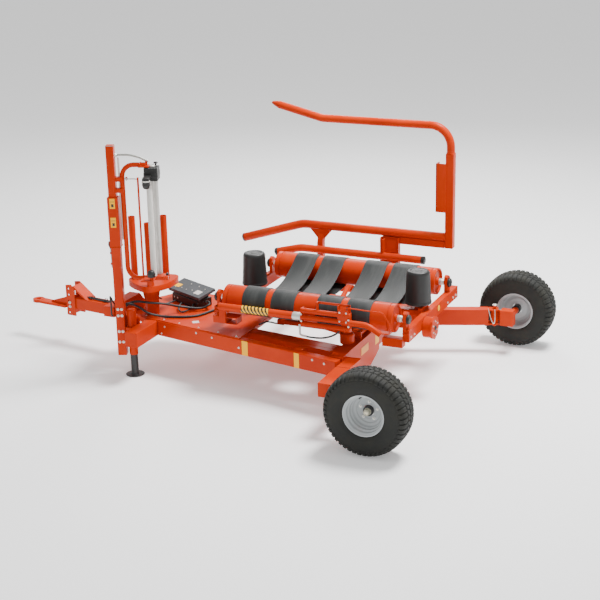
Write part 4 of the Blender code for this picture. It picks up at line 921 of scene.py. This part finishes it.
def makeFilmUnit():
    # a bent tube on the mast, with two rollers whose radius ripples along or round them
    steel = ("film_mast", "orange")
    mast = lambda points: within(mastFrame, points)
    turn = mastFrame[:3, :3]
    side, out = turn @ [0, -1, 0], turn @ [1, 0, 0]
    bow = bentRoute([(0.45, 0.0, 0.925), (0.092, 0.0, 0.925), (0.092, 0.0, 1.955), (0.31, 0.0, 1.955)], 0.105,
        12)
    tubePiece("filmBow", mast(bow), filmSizes["bow"], *steel, 28, across=side, rounding=0.003,
        stands="film_bow")
    plates("filmClamps", [((0.0353, -0.031, h), (0.101, 0.031, h + 0.037)) for h in (1.81, 1.71)]
        + [((0.3, -0.055, 0.933), (0.42, 0.055, 0.9545))], *steel, mastFrame, edge=0.003)
    # one roller ringed like a ladder, the other fluted lengthwise
    for name, node, rings in (("filmRollerRinged", "film_roller_1", True),
            ("filmRollerFluted", "film_roller_2", False)):
        low, high = corners(node)
        spot = (low + high) / 2
        height = np.linspace(low[2] + 0.0005, high[2] - 0.0005, 620 if rings else 8)
        angle = np.linspace(0, 2 * np.pi, 48 if rings else 192, endpoint=False)
        ringed = filmSizes["ringDepth"] * np.cos(height * 2 * np.pi / filmSizes["ringPitch"])[:, None]
        fluted = filmSizes["fluteDepth"] * np.cos(angle * filmSizes["flutes"])[None, :]
        radius = filmSizes["roller"] + (ringed if rings else fluted) + 0 * angle[None, :] + 0 * height[:, None]
        points = np.stack([spot[0] + radius * np.cos(angle), spot[1] + radius * np.sin(angle),
            np.broadcast_to(height[:, None], radius.shape)], -1)
        rows, columns = radius.shape
        faces = gridFaces(rows, columns).tolist() + endCaps(rows, columns)
        outward(makePiece(name, points, faces, node, "white" if rings else "alu", stands=node, sharp=60))
    for end in ("upper", "lower"):
        low, high = corners(end + "_reel_cone")
        spot = [(low[0] + high[0]) / 2, (low[1] + high[1]) / 2, low[2] if end == "lower" else high[2]]
        way = (0, 0, 1 if end == "lower" else -1)
        turnedPiece(end + "ReelCone", [(0, 0.0004), (0.0355, 0.0004), (0.0355, 0.008), (0.034, 0.01),
            (0.034, 0.018), (0.0355, 0.02), (0.0355, 0.028), (0.028, 0.052), (0.02, 0.06), (0, 0.06)], spot,
            way, end + "_reel_cone", "black", cut=0.0015, around=56, stands=end + "_reel_cone")
    top = mast([(0.331, -0.165, 1.842), (0.331, -0.165, 1.853)])
    tubePiece("reelStudWasher", top, 0.036, "film_mast", "zinc", 40, across=(1, 0, 0))
    # lever, rail and gearbox dressing
    lever = easyRoute(mast([(0.047, 0, 2.041), (0.1, 0, 2.043), (0.17, 0, 2.04), (0.25, 0, 2.02),
        (0.3, 0, 1.998), (0.33, 0, 1.985)]))
    tubePiece("reelLever", lever, 0.0095, "film_mast", "steel", 16, across=side, rounding=0.003)
    knob = mast([(0.0355, 0, 2.041), (0.05, 0, 2.041), (0.056, 0, 2.041)])
    tubePiece("leverBoss", knob, [0.017, 0.017, 0.013], "film_mast", "zinc", 24)
    tubePiece("leverLink", mast([(0.312, 0, 1.99), (0.312, 0, 1.96), (0.312, 0, 1.935)]), 0.011, *steel, 18,
        across=(1, 0, 0))
    rail = mast([(0.0645, 0.006, 1.28), (0.0645, 0.006, 1.66), (0.0645, 0.006, 2.02)])
    tubePiece("filmRail", rail, 0.008, "film_mast", "zinc", 18, across=(1, 0, 0))
    plates("gearboxCover", [((0.29, -0.058, 1.852), (0.415, 0.078, 1.898))], "film_mast", "black", mastFrame,
        edge=0.006)
    plates("gearboxHead", [((0.245, -0.05, 1.938), (0.335, 0.035, 1.952)),
        ((0.252, -0.045, 1.952), (0.262, 0.03, 1.975))], *steel, mastFrame, edge=0.003)
    turnedPiece("gearboxKnob", [(0, 0), (0.007, 0), (0.007, 0.022), (0.019, 0.024), (0.019, 0.034),
        (0.012, 0.038), (0, 0.038)], mast([(0.385, 0.045, 1.9335)])[0], up, "film_mast", "black", cut=0.001,
        around=24)
    turnedPiece("gearboxCap", [(0, 0), (0.036, 0), (0.034, 0.012), (0.016, 0.016), (0, 0.016)],
        mast([(0.35, 0.03, 1.9335)])[0], up, "film_mast", "zinc", around=36)
    tubePiece("filmTensionRod", mast([(0.115, -0.012, 1.832), (0.19, -0.03, 1.836), (0.243, -0.06, 1.84)]),
        0.006, "film_mast", "pale", 14)
    turnedPiece("filmTensionKnob", [(0, 0), (0.015, 0.002), (0.018, 0.012), (0.012, 0.02), (0, 0.022)],
        mast([(0.118, 0, 1.832)])[0], out, *steel, around=28)
    turnedPiece("filmArmKnob", [(0, 0), (0.014, 0.002), (0.017, 0.012), (0.012, 0.022), (0, 0.024)],
        mast([(0.424, 0.045, 0.945)])[0], out, "film_mast", "black", around=28)
    plates("mastCap", [((-0.0362, -0.0362, 2.1245), (0.0362, 0.0362, 2.1297))], "film_mast", "steel", mastFrame,
        edge=0.002)
    # small pins up the bow's post
    pins = [(mast([(0.113, 0.0, h)])[0], out, 0.0045) for h in (1.72, 1.53, 1.37, 1.22)]
    bolts("bowPins", pins, "film_mast")

    labels = [((-0.026, -0.0487, h), (0.022, -0.0481, h + 0.09)) for h in (1.573, 1.402)]
    plates("mastLabels", labels, "chassis", "yellow", mastFrame, edge=0.0002)
    patches = [((-0.012, -0.0491, h + 0.014), (0.01, -0.0487, h + 0.042)) for h in (1.573, 1.402)]
    patches += [((-0.02, -0.0491, h + 0.06), (0.016, -0.0487, h + 0.064)) for h in (1.573, 1.402)]
    plates("mastLabelPatches", patches, "chassis", "soot", mastFrame, edge=0.0001)
    bolts("mastBolts", [(mast([(x, -0.0402, h)])[0], side, 0.011) for h in (0.33, 0.43, 0.58, 0.64)
        for x in (-0.016, 0.018)], "chassis")
    grip = mast([(-0.052, 0, 1.2), (-0.06, 0, 1.235), (-0.058, 0, 1.262)])
    tubePiece("mastLatchGrip", grip, [0.009, 0.013, 0.01], "chassis", "black", 20, across=(1, 0, 0.1))
    tubePiece("mastLatchRod", mast([(-0.048, 0, 1.02), (-0.05, 0, 1.12), (-0.053, 0, 1.205)]), 0.0065,
        "chassis", "steel", 14, across=(1, 0, 0.1))
    plates("mastLatchGuide", [((-0.06, -0.012, 1.05), (-0.0402, 0.012, 1.065)),
        ((-0.06, -0.012, 1.15), (-0.0402, 0.012, 1.165))], "chassis", "orange", mastFrame, edge=0.002)
    collar = 0.049
    beads = [weldLine(*mast([(a[0] * collar, a[1] * collar, 1.2205), (b[0] * collar, b[1] * collar, 1.2205)]))
        for a, b in (((-1, -1), (1, -1)), ((1, -1), (1, 1)), ((1, 1), (-1, 1)), ((-1, 1), (-1, -1)))]
    welds("mastWelds", beads, "chassis")


makeFilmUnit()
print("film unit made")

# reel stand, valve unit and hoses


reelSizes = {"posts": ((1.09, 0.27), (0.837, 0.42), (0.834, 0.14)), "wall": 0.0318, "centre": (0.9203, 0.2767),
    "underside": 0.794}


def makeReelStand():
    # turned posts on a plate whose rings are its outline shrunk about its centre
    posts, wall = reelSizes["posts"], reelSizes["wall"]
    top = corners("reel_stand")[1][2]
    for index, (x, y) in enumerate(posts):
        turnedPiece(f"reelPost{index}", [(0.0, 0.797), (wall, 0.797), (wall, top - 0.0008),
            (wall - 0.001, top - 0.0002), (wall - 0.004, top - 0.0005), (wall - 0.0045, top - 0.03),
            (0, top - 0.032)], (x, y, 0), up, "chassis", "orange", cut=0.0006, around=48)
    # a rounded plate with a turned-down lip: its outline runs through these points
    outline = [(1.135, 0.225), (1.14, 0.3), (1.09, 0.36), (1.0, 0.42), (0.9, 0.465), (0.83, 0.46),
        (0.775, 0.39), (0.735, 0.29), (0.73, 0.16), (0.75, 0.06), (0.8, 0.03), (0.9, 0.055), (1.06, 0.145)]
    loop = easyRoute(np.column_stack([outline[-2:] + outline + outline[:2], np.zeros(len(outline) + 4)]),
        6)[12:-13, :2]
    centre = np.array(reelSizes["centre"])
    loop = centre + (loop - centre) * 0.997
    shrunk = centre + (loop - centre) * 0.975
    hub = centre + (loop - centre) * 0.05
    levels = [(hub, reelSizes["underside"]), (shrunk, reelSizes["underside"]), (shrunk, 0.7445), (loop, 0.7445),
        (loop, 0.796), (centre + (loop - centre) * 0.99, 0.8), (hub, 0.8)]
    points = np.concatenate([np.column_stack([ring, np.full(len(ring), h)]) for ring, h in levels])
    faces = gridFaces(len(levels), len(loop)).tolist() + endCaps(len(levels), len(loop))
    outward(makePiece("reelPlate", points, faces, "chassis", "orange", stands="reel_stand"))
    low = corners("reel_stand")[0][2]
    turnedPiece("reelPedestal", [(0, low), (0.064, low), (0.066, 0.62), (0.08, 0.7), (0.125, 0.79), (0, 0.79)],
        (*centre, 0), up, "chassis", "orange", cut=0.02, around=56)
    welds("reelWelds", [weldRing((x, y, 0.8005), up, 0.0325) for x, y in posts]
        + [weldRing((*centre, low + 0.003), up, 0.065)], "chassis")


def makeValveUnit():
    # a folded lid over the valve chest: flat top, turned-down lips
    low, high = corners("valve_cover")
    slope = math.atan2(0.05, 0.2)
    tilt = valveFrame.copy()
    lean = np.eye(4)
    lean[:3, :3] = [[1, 0, 0], [0, math.cos(slope), -math.sin(slope)], [0, math.sin(slope), math.cos(slope)]]
    lean[:3, 3] = [0, 0, 0.632]
    tilt = tilt @ lean
    plates("valveLid", [((-0.238, -0.101, -0.004), (0.238, 0.101, 0.004))], "chassis", "grey", tilt,
        edge=0.0025, stands="valve_cover")
    plates("valveLips", [((-0.238, -0.101, -0.03), (0.238, -0.098, -0.003)),
        ((-0.238, -0.1, -0.022), (-0.235, 0.1, -0.003)), ((0.235, -0.1, -0.022), (0.238, 0.1, -0.003))],
        "chassis", "grey", tilt, edge=0.001)
    plates("valveBlocks", [((-0.17, -0.07, 0.571), (0.17, 0.07, 0.6)),
        ((-0.12, -0.05, 0.6), (-0.04, 0.06, 0.622)), ((0.0, -0.05, 0.6), (0.05, 0.06, 0.622)),
        ((0.08, -0.05, 0.6), (0.13, 0.06, 0.622))], "chassis", "black", valveFrame, edge=0.004)
    turn = tilt[:3, :3]
    spots = [(within(tilt, [(x, y, 0.004)])[0], turn @ [0, 0, 1], 0.006)
        for x, y in ((-0.1, -0.04), (-0.02, -0.045), (0.05, -0.03), (-0.06, 0.05), (0.06, 0.05), (0.16, 0.04),
        (-0.17, -0.06))]
    bolts("lidBolts", spots, "chassis")
    plates("lidYellowLabel", [((-0.205, -0.05, 0.0041), (-0.135, 0.005, 0.0046))], "chassis", "yellow", tilt,
        edge=0.0001)
    plates("lidPaleLabel", [((0.1, -0.06, 0.0041), (0.18, 0.0, 0.0046))], "chassis", "pale", tilt, edge=0.0001)
    fittings = [(within(valveFrame, [(x, -0.0855, 0.535)])[0], valveFrame[:3, :3] @ [0, -1, 0], 0.011)
        for x in (-0.15, -0.1)]
    bolts("valveFittings", fittings, "chassis")


hoseSizes = {"radius": 0.0108, "ferrule": 0.0135, "line": 0.0075}
hoseRoutes = {
    "upper_hose": [(1.0715, 0.5, 0.61), (1.062, 0.5, 0.61), (1.03, 0.465, 0.632), (0.97, 0.43, 0.638),
        (0.866, 0.415, 0.634), (0.757, 0.319, 0.605),
                   (0.672, 0.2, 0.552), (0.529, 0.085, 0.516), (0.462, 0.035, 0.54), (0.4836, -0.017, 0.542),
                       (0.5068, -0.0385, 0.54), (0.5289, -0.0485, 0.54)],
    "lower_hose": [(1.0715, 0.57, 0.62), (1.062, 0.57, 0.62), (1.03, 0.56, 0.648), (0.985, 0.535, 0.645),
        (0.946, 0.46, 0.594), (0.862, 0.43, 0.536),
                   (0.749, 0.37, 0.503), (0.574, 0.31, 0.4998), (0.466, 0.223, 0.4998), (0.41, 0.064, 0.4998),
                       (0.38, -0.06, 0.4998)],
}


def makeHoses():
    # each hose is a tube carried along a smooth curve through its points
    for node, route in hoseRoutes.items():
        name = node.split("_")[0] + "Hose"
        smooth = easyRoute(route, 12)
        tubePiece(name, smooth, hoseSizes["radius"], "chassis", "rubber", 20, stands=node)
        for index, (spot, ahead) in enumerate(((smooth[0], smooth[8]), (smooth[-1], smooth[-8]))):
            tubePiece(f"{name}Ferrule{index}", [spot, spot + (ahead - spot) * 0.5, ahead], hoseSizes["ferrule"],
                "chassis", "zinc", 20)
    # small lines: a loop beside the mast, a pair along the drawbar to the hitch and a few under the lid
    small = {
        "mastLoopHose": [(1.1, 0.62, 0.648), (1.1, 0.66, 0.7), (1.085, 0.72, 0.76), (1.07, 0.735, 0.7),
            (1.075, 0.73, 0.6), (1.09, 0.69, 0.57)],
        "hitchHoseA": [(1.14, 0.5, 0.648), (1.2, 0.45, 0.62), (1.27, 0.36, 0.54), (1.33, 0.22, 0.497),
            (1.45, 0.17, 0.492), (1.62, 0.14, 0.492), (1.78, 0.12, 0.5)],
        "hitchHoseB": [(1.14, 0.44, 0.648), (1.21, 0.38, 0.6), (1.28, 0.28, 0.52), (1.36, 0.17, 0.494),
            (1.48, 0.14, 0.492), (1.64, 0.115, 0.492), (1.79, 0.095, 0.5)],
        "valveHoseA": [(0.98, 0.00, 0.53), (0.99, 0.06, 0.56), (0.96, 0.12, 0.545), (0.9, 0.1, 0.52),
            (0.86, 0.03, 0.52), (0.83, 0.0, 0.53)],
        "valveHoseB": [(0.62, 0.04, 0.53), (0.6, 0.12, 0.515), (0.66, 0.2, 0.502), (0.72, 0.14, 0.52),
            (0.74, 0.05, 0.53)],
        "tableHose": [(-0.16, 0.25, 0.498), (-0.2, 0.16, 0.498), (-0.26, 0.1, 0.47), (-0.31, 0.05, 0.45)],
    }
    for name, route in small.items():
        tubePiece(name, easyRoute(route, 12), hoseSizes["line"], "chassis", "rubber", 16, across=(0.1, 0.05, 1))
    ties = [((1.5, 0.15, 0.4925), (1, -0.14, 0)), ((1.66, 0.127, 0.4925), (1, -0.14, 0))]
    for index, (spot, way) in enumerate(ties):
        turnedPiece(f"hoseTie{index}", ringOutline(0.022, 0.0245, -0.004, 0.004),
            np.array(spot) + [0, 0, 0.004], way, "chassis", "black", cut=0.0005, around=24)


makeReelStand()
makeValveUnit()
makeHoses()
print("deck gear made")

# chassis trim


def makeTrim():
    # bolts, labels, welds, pin heads and small turned pieces of the chassis and table
    steel = ("chassis", "orange")
    beam = lambda points: within(beamFrame, points)
    way = beamFrame[:3, :3] @ [0, 1, 0]
    strips = [((x, 0.0001, 0.343), (x + w, 0.0009, 0.477)) for x, w in ((0.378, 0.052), (0.924, 0.064))]
    plates("beamStrips", strips, "chassis", "yellow", beamFrame, edge=0.0002)
    spots = [(beam([(x, 0.0002, z)])[0], way, 0.0085) for x, z in ((1.022, 0.405), (1.32, 0.44), (1.5, 0.45),
        (0.12, 0.44), (0.24, 0.45), (1.87, 0.44), (1.91, 0.37))]
    bolts("beamBolts", spots, "chassis")
    z = corners("deck_plate")[1][2]
    deckSpots = [((x, y, z), up, 0.008) for x, y in ((-0.1, 0.585), (0.1, 0.545), (0.32, 0.5), (0.54, 0.458),
        (0.72, 0.42), (0.93, 0.37), (1.2, 0.19), (0.0, -0.36), (0.3, -0.38))]
    bolts("deckBolts", deckSpots, "chassis")
    label = turnedFrame((0.42, 0.37), 34)
    plates("deckLabel", [((-0.03, -0.03, z), (0.03, 0.03, z + 0.0006))], "chassis", "pale", label, edge=0.0001)
    # the deck's front lip and the folded edge along the open well
    plates("deckEdges", [((-0.1434, -0.4, 0.452), (-0.1374, 0.6, 0.48))], *steel, edge=0.0015)
    rear = corners("rear_cross_member")[0][0]
    plates("rearReflector", [((rear - 0.003, 0.12, 0.345), (rear - 0.0002, 0.29, 0.415))], "chassis", "amber",
        edge=0.001)
    plates("rearMarker", [((rear - 0.0012, -0.14, 0.33), (rear - 0.0002, -0.05, 0.43))], "chassis", "yellow",
        edge=0.0002)
    barRear = corners("table_rear_bar")[0][0]
    turnedPiece("barReflector", headOutline(0.026, 0.003, 0.022, 0.005), (barRear - 0.0003, -0.3, 0.658),
        (-1, 0, 0), "turntable", "yellow", around=40)
    ends = [((barRear - 0.0002, y, z), (-1, 0, 0), 0.009) for y, z in ((0.42, 0.63), (0.34, 0.63),
        (-0.55, 0.63), (-0.78, 0.63), (-0.7, 0.63))]
    front = corners("table_front_bar")[1][0]
    ends += [((front + 0.0002, y, z), (1, 0, 0), 0.009) for y, z in ((0.42, 0.63), (0.34, 0.63), (-0.55, 0.63),
        (-0.78, 0.63))]
    bolts("tableBolts", ends, "turntable")
    plates("barFeet", [((x - 0.03, y - 0.045, 0.6652), (x + 0.03, y + 0.045, 0.674)) for x in (0.142, -1.629)
        for y in (0.43, -0.65)], "turntable", "orange", edge=0.002)
    # plug in the drive housing's end plate
    low, high = corners("drive_housing")
    spot = [low[0], (low[1] + high[1]) / 2, (low[2] + high[2]) / 2]
    turnedPiece("drivePlug", [(0, 0), (0.02, 0), (0.02, 0.006), (0.012, 0.008), (0.011, 0.003), (0, 0.003)],
        np.array(spot) - [0.0003, 0, 0], (-1, 0, 0), "turntable", "black", cut=0.001, around=32)
    bolts("driveBolts", [(np.array(spot) + [-0.0002, 0.058 * math.cos(a), 0.058 * math.sin(a)], (-1, 0, 0),
        0.007) for a in np.radians([30, 90, 150, 210, 270, 330])], "turntable")
    # slew ring bolts and a hydraulic motor under the tipping frame
    centre = np.array([tableMiddle[0], tableMiddle[1], 0.5722])
    angle = np.linspace(0, 2 * np.pi, 14, endpoint=False)
    bolts("slewBolts", [(centre + [0.181 * math.cos(a), 0.181 * math.sin(a), -0.0002], up, 0.0055)
        for a in angle], "tip_frame")
    # hitch bolts through the tongue, and the pin heads of the swing arm and the far knuckle
    drawbarSide = drawbarFrame[:3, :3] @ [0, 1, 0]
    through = [(within(drawbarFrame, [(0.603, 0.0124, h)])[0], drawbarSide, 0.013) for h in (0.39, 0.43)]
    through += [(within(drawbarFrame, [(0.603, -0.1325, h)])[0], -drawbarSide, 0.013) for h in (0.39, 0.43)]
    bolts("hitchBolts", through, "chassis")
    knuckle = within(armFrame, [(0.82, 0, 0)])[0]
    turnedPiece("armPinHead", headOutline(0.03, 0.008, 0.022, 0.014), (-1.16, -0.8455, 0.4603), up, "chassis",
        "zinc", around=36)
    turnedPiece("knucklePinHead", headOutline(0.024, 0.006, 0.018, 0.011), (*knuckle[:2], 0.4503), up,
        "far_knuckle", "zinc", around=36)
    # housing that carries the far wheel's stub, and the safety chain of the arm's pin
    plates("knuckleHousing", [((-2.118, -1.168, 0.276), (-1.992, -1.075, 0.424))], "far_knuckle", "orange",
        edge=0.006)
    turn = np.linspace(0, 1, 26)[:, None]
    start, end = np.array([-1.885, -1.07, 0.432]), np.array([-1.945, -1.075, 0.428])
    hang = start + (end - start) * turn + np.array([-0.03, 0.026, -0.13]) * (4 * turn * (1 - turn)) ** 0.8
    links = 0.0034 + 0.0012 * np.abs(np.sin(np.arange(26) * 1.57))
    tubePiece("pinChain", hang, links, "far_arm", "zinc", 12, across=(0, 1, 0.1))
    # hydraulic motor on the rear member and the rail beside the side beam
    turnedPiece("tipMotor", [(0, 0.4803), (0.06, 0.4803), (0.064, 0.486), (0.064, 0.56), (0.058, 0.572),
        (0.04, 0.578), (0.038, 0.592), (0, 0.592)], (-1.055, 0.36, 0), up, *steel, cut=0.004, around=48)
    plates("innerRail", [((0.12, -0.3, 0.47), (0.84, -0.185, 0.478)),
        ((0.12, -0.3, 0.41), (0.84, -0.293, 0.474)), ((0.12, -0.193, 0.41), (0.84, -0.185, 0.474)),
        ((0.42, -0.2, 0.42), (0.5, -0.0797, 0.47))], *steel, beamFrame, edge=0.003)
    # jack: collar and foot dressing
    low, high = corners("jack_tube")
    spot = np.array([(low[0] + high[0]) / 2, (low[1] + high[1]) / 2, 0.0])
    turnedPiece("jackHead", [(0, 0.6), (0.042, 0.6), (0.043, 0.606), (0.043, 0.622), (0.034, 0.63),
        (0.012, 0.634), (0, 0.634)], spot, up, *steel, around=40)
    low, high = corners("jack_leg")
    foot = (high[0] - low[0]) / 2
    turnedPiece("jackLeg", [(0, 0), (foot - 0.006, 0), (foot, 0.004), (foot, 0.009), (foot - 0.008, 0.012),
        (0.04, 0.012), (0.0345, 0.03), (0.0345, 0.358), (0.032, 0.36), (0, 0.36)], spot, up, "jack", "soot",
        cut=0.0015, around=48, stands="jack_leg")
    beads = [weldLine((-1.2785, 0.845, 0.451), (-1.157, 0.845, 0.451)),
        weldLine((-1.1535, 0.735, 0.4805), (-1.037, 0.715, 0.4805)),
        weldLine((0.7755, 0.449, 0.4815), (0.7755, 0.37, 0.4815)),
        weldLine((-1.034, -0.66, 0.4805), (-1.034, -0.58, 0.4805)),
        weldLine((-1.03, -0.6605, 0.461), (-0.965, -0.6605, 0.461)),
        weldLine((0.035, -0.6605, 0.461), (0.1, -0.6605, 0.461))]
    welds("chassisWelds", beads, "chassis")


makeTrim()
print("trim made")

# stage, light and camera


studio = {"floorHalf": 600.0, "floorTone": 0.9, "floorGlow": 0.25, "sky": 0.8}
lamps = {      # place, aim, size, power
    "keyLight": ((-3.0, -1.8, 8.5), (-0.5, 0, 0.6), 3.0, 1650),
    "fillLight": ((-6.0, 8.5, 4.0), (0, 0, 0.6), 4.0, 45),
    "backLight": ((2.0, -7.0, 6.0), (0, 0, 0.8), 4.0, 420),
}
view = {"place": (-5.3221, 10.6506, 4.5957), "ahead": (0.3944, -0.8626, -0.3168), "yaw": 24.5712,
    "roll": -1.2962, "lens": 82.566}


def stoodAt(thing, across, over, back, place):
    # puts a lamp or camera in place: its three axes as columns, then where it stands
    rows = np.column_stack([across, over, back, place]).tolist()
    thing.matrix_world = Matrix([*rows, [0, 0, 0, 1]])


def makeStage():
    sheet = Sheet("studioFloor", (studio["floorTone"],) * 3, 0.9, specular=0.1)
    sheet.shader.inputs["Emission Color"].default_value = (1.0, 1.0, 1.0, 1.0)
    sheet.shader.inputs["Emission Strength"].default_value = studio["floorGlow"]
    sheet.bump(sheet.noise(3.0), 0.001, 0.05)
    mesh = bpy.data.meshes.new("floor")
    spots = np.array([(-1, -1, 0), (1, -1, 0), (1, 1, 0), (-1, 1, 0)]) * studio["floorHalf"] - [0, 0, 0.001]
    mesh.from_pydata(spots.tolist(), [], [(0, 1, 2, 3)])
    mesh.materials.append(sheet.material)
    placed("floor", mesh)
    scene = bpy.context.scene
    scene.world = scene.world or bpy.data.worlds.new("studio")
    scene.world.use_nodes = True
    sky = scene.world.node_tree.nodes["Background"].inputs
    sky["Color"].default_value, sky["Strength"].default_value = (1.0, 1.0, 1.0, 1.0), studio["sky"]


def makeLight(name, place, aim, size, power):
    # a round lamp whose face points at its aim
    light = bpy.data.lights.new(name, "AREA")
    light.energy, light.size, light.shape = power, size, "DISK"
    stoodAt(placed(name, light), *axisTurn(np.subtract(place, aim)).T, place)


def makeCamera():
    # stands off the rear left corner, looking a little down, rolled slightly
    yaw, roll = math.radians(view["yaw"]), math.radians(view["roll"])
    ahead = np.array(view["ahead"])
    right = np.array([-math.cos(yaw), -math.sin(yaw), 0.0])
    above = np.cross(right, ahead)
    data = bpy.data.cameras.new("view")
    data.lens, data.sensor_width = view["lens"], 36.0
    camera = placed("view", data)
    side, top = math.cos(roll) * right + math.sin(roll) * above, math.cos(roll) * above - math.sin(roll) * right
    stoodAt(camera, side, top, -ahead, view["place"])
    bpy.context.scene.camera = camera


makeStage()
for name, lamp in lamps.items():
    makeLight(name, *lamp)
makeCamera()

for node, solid in nodes.items():
    if not solid.hide_render:
        solid.data.materials.clear()
        solid.data.materials.append(finishes[cadFinish[slotOf[node]]])
print("stage set")
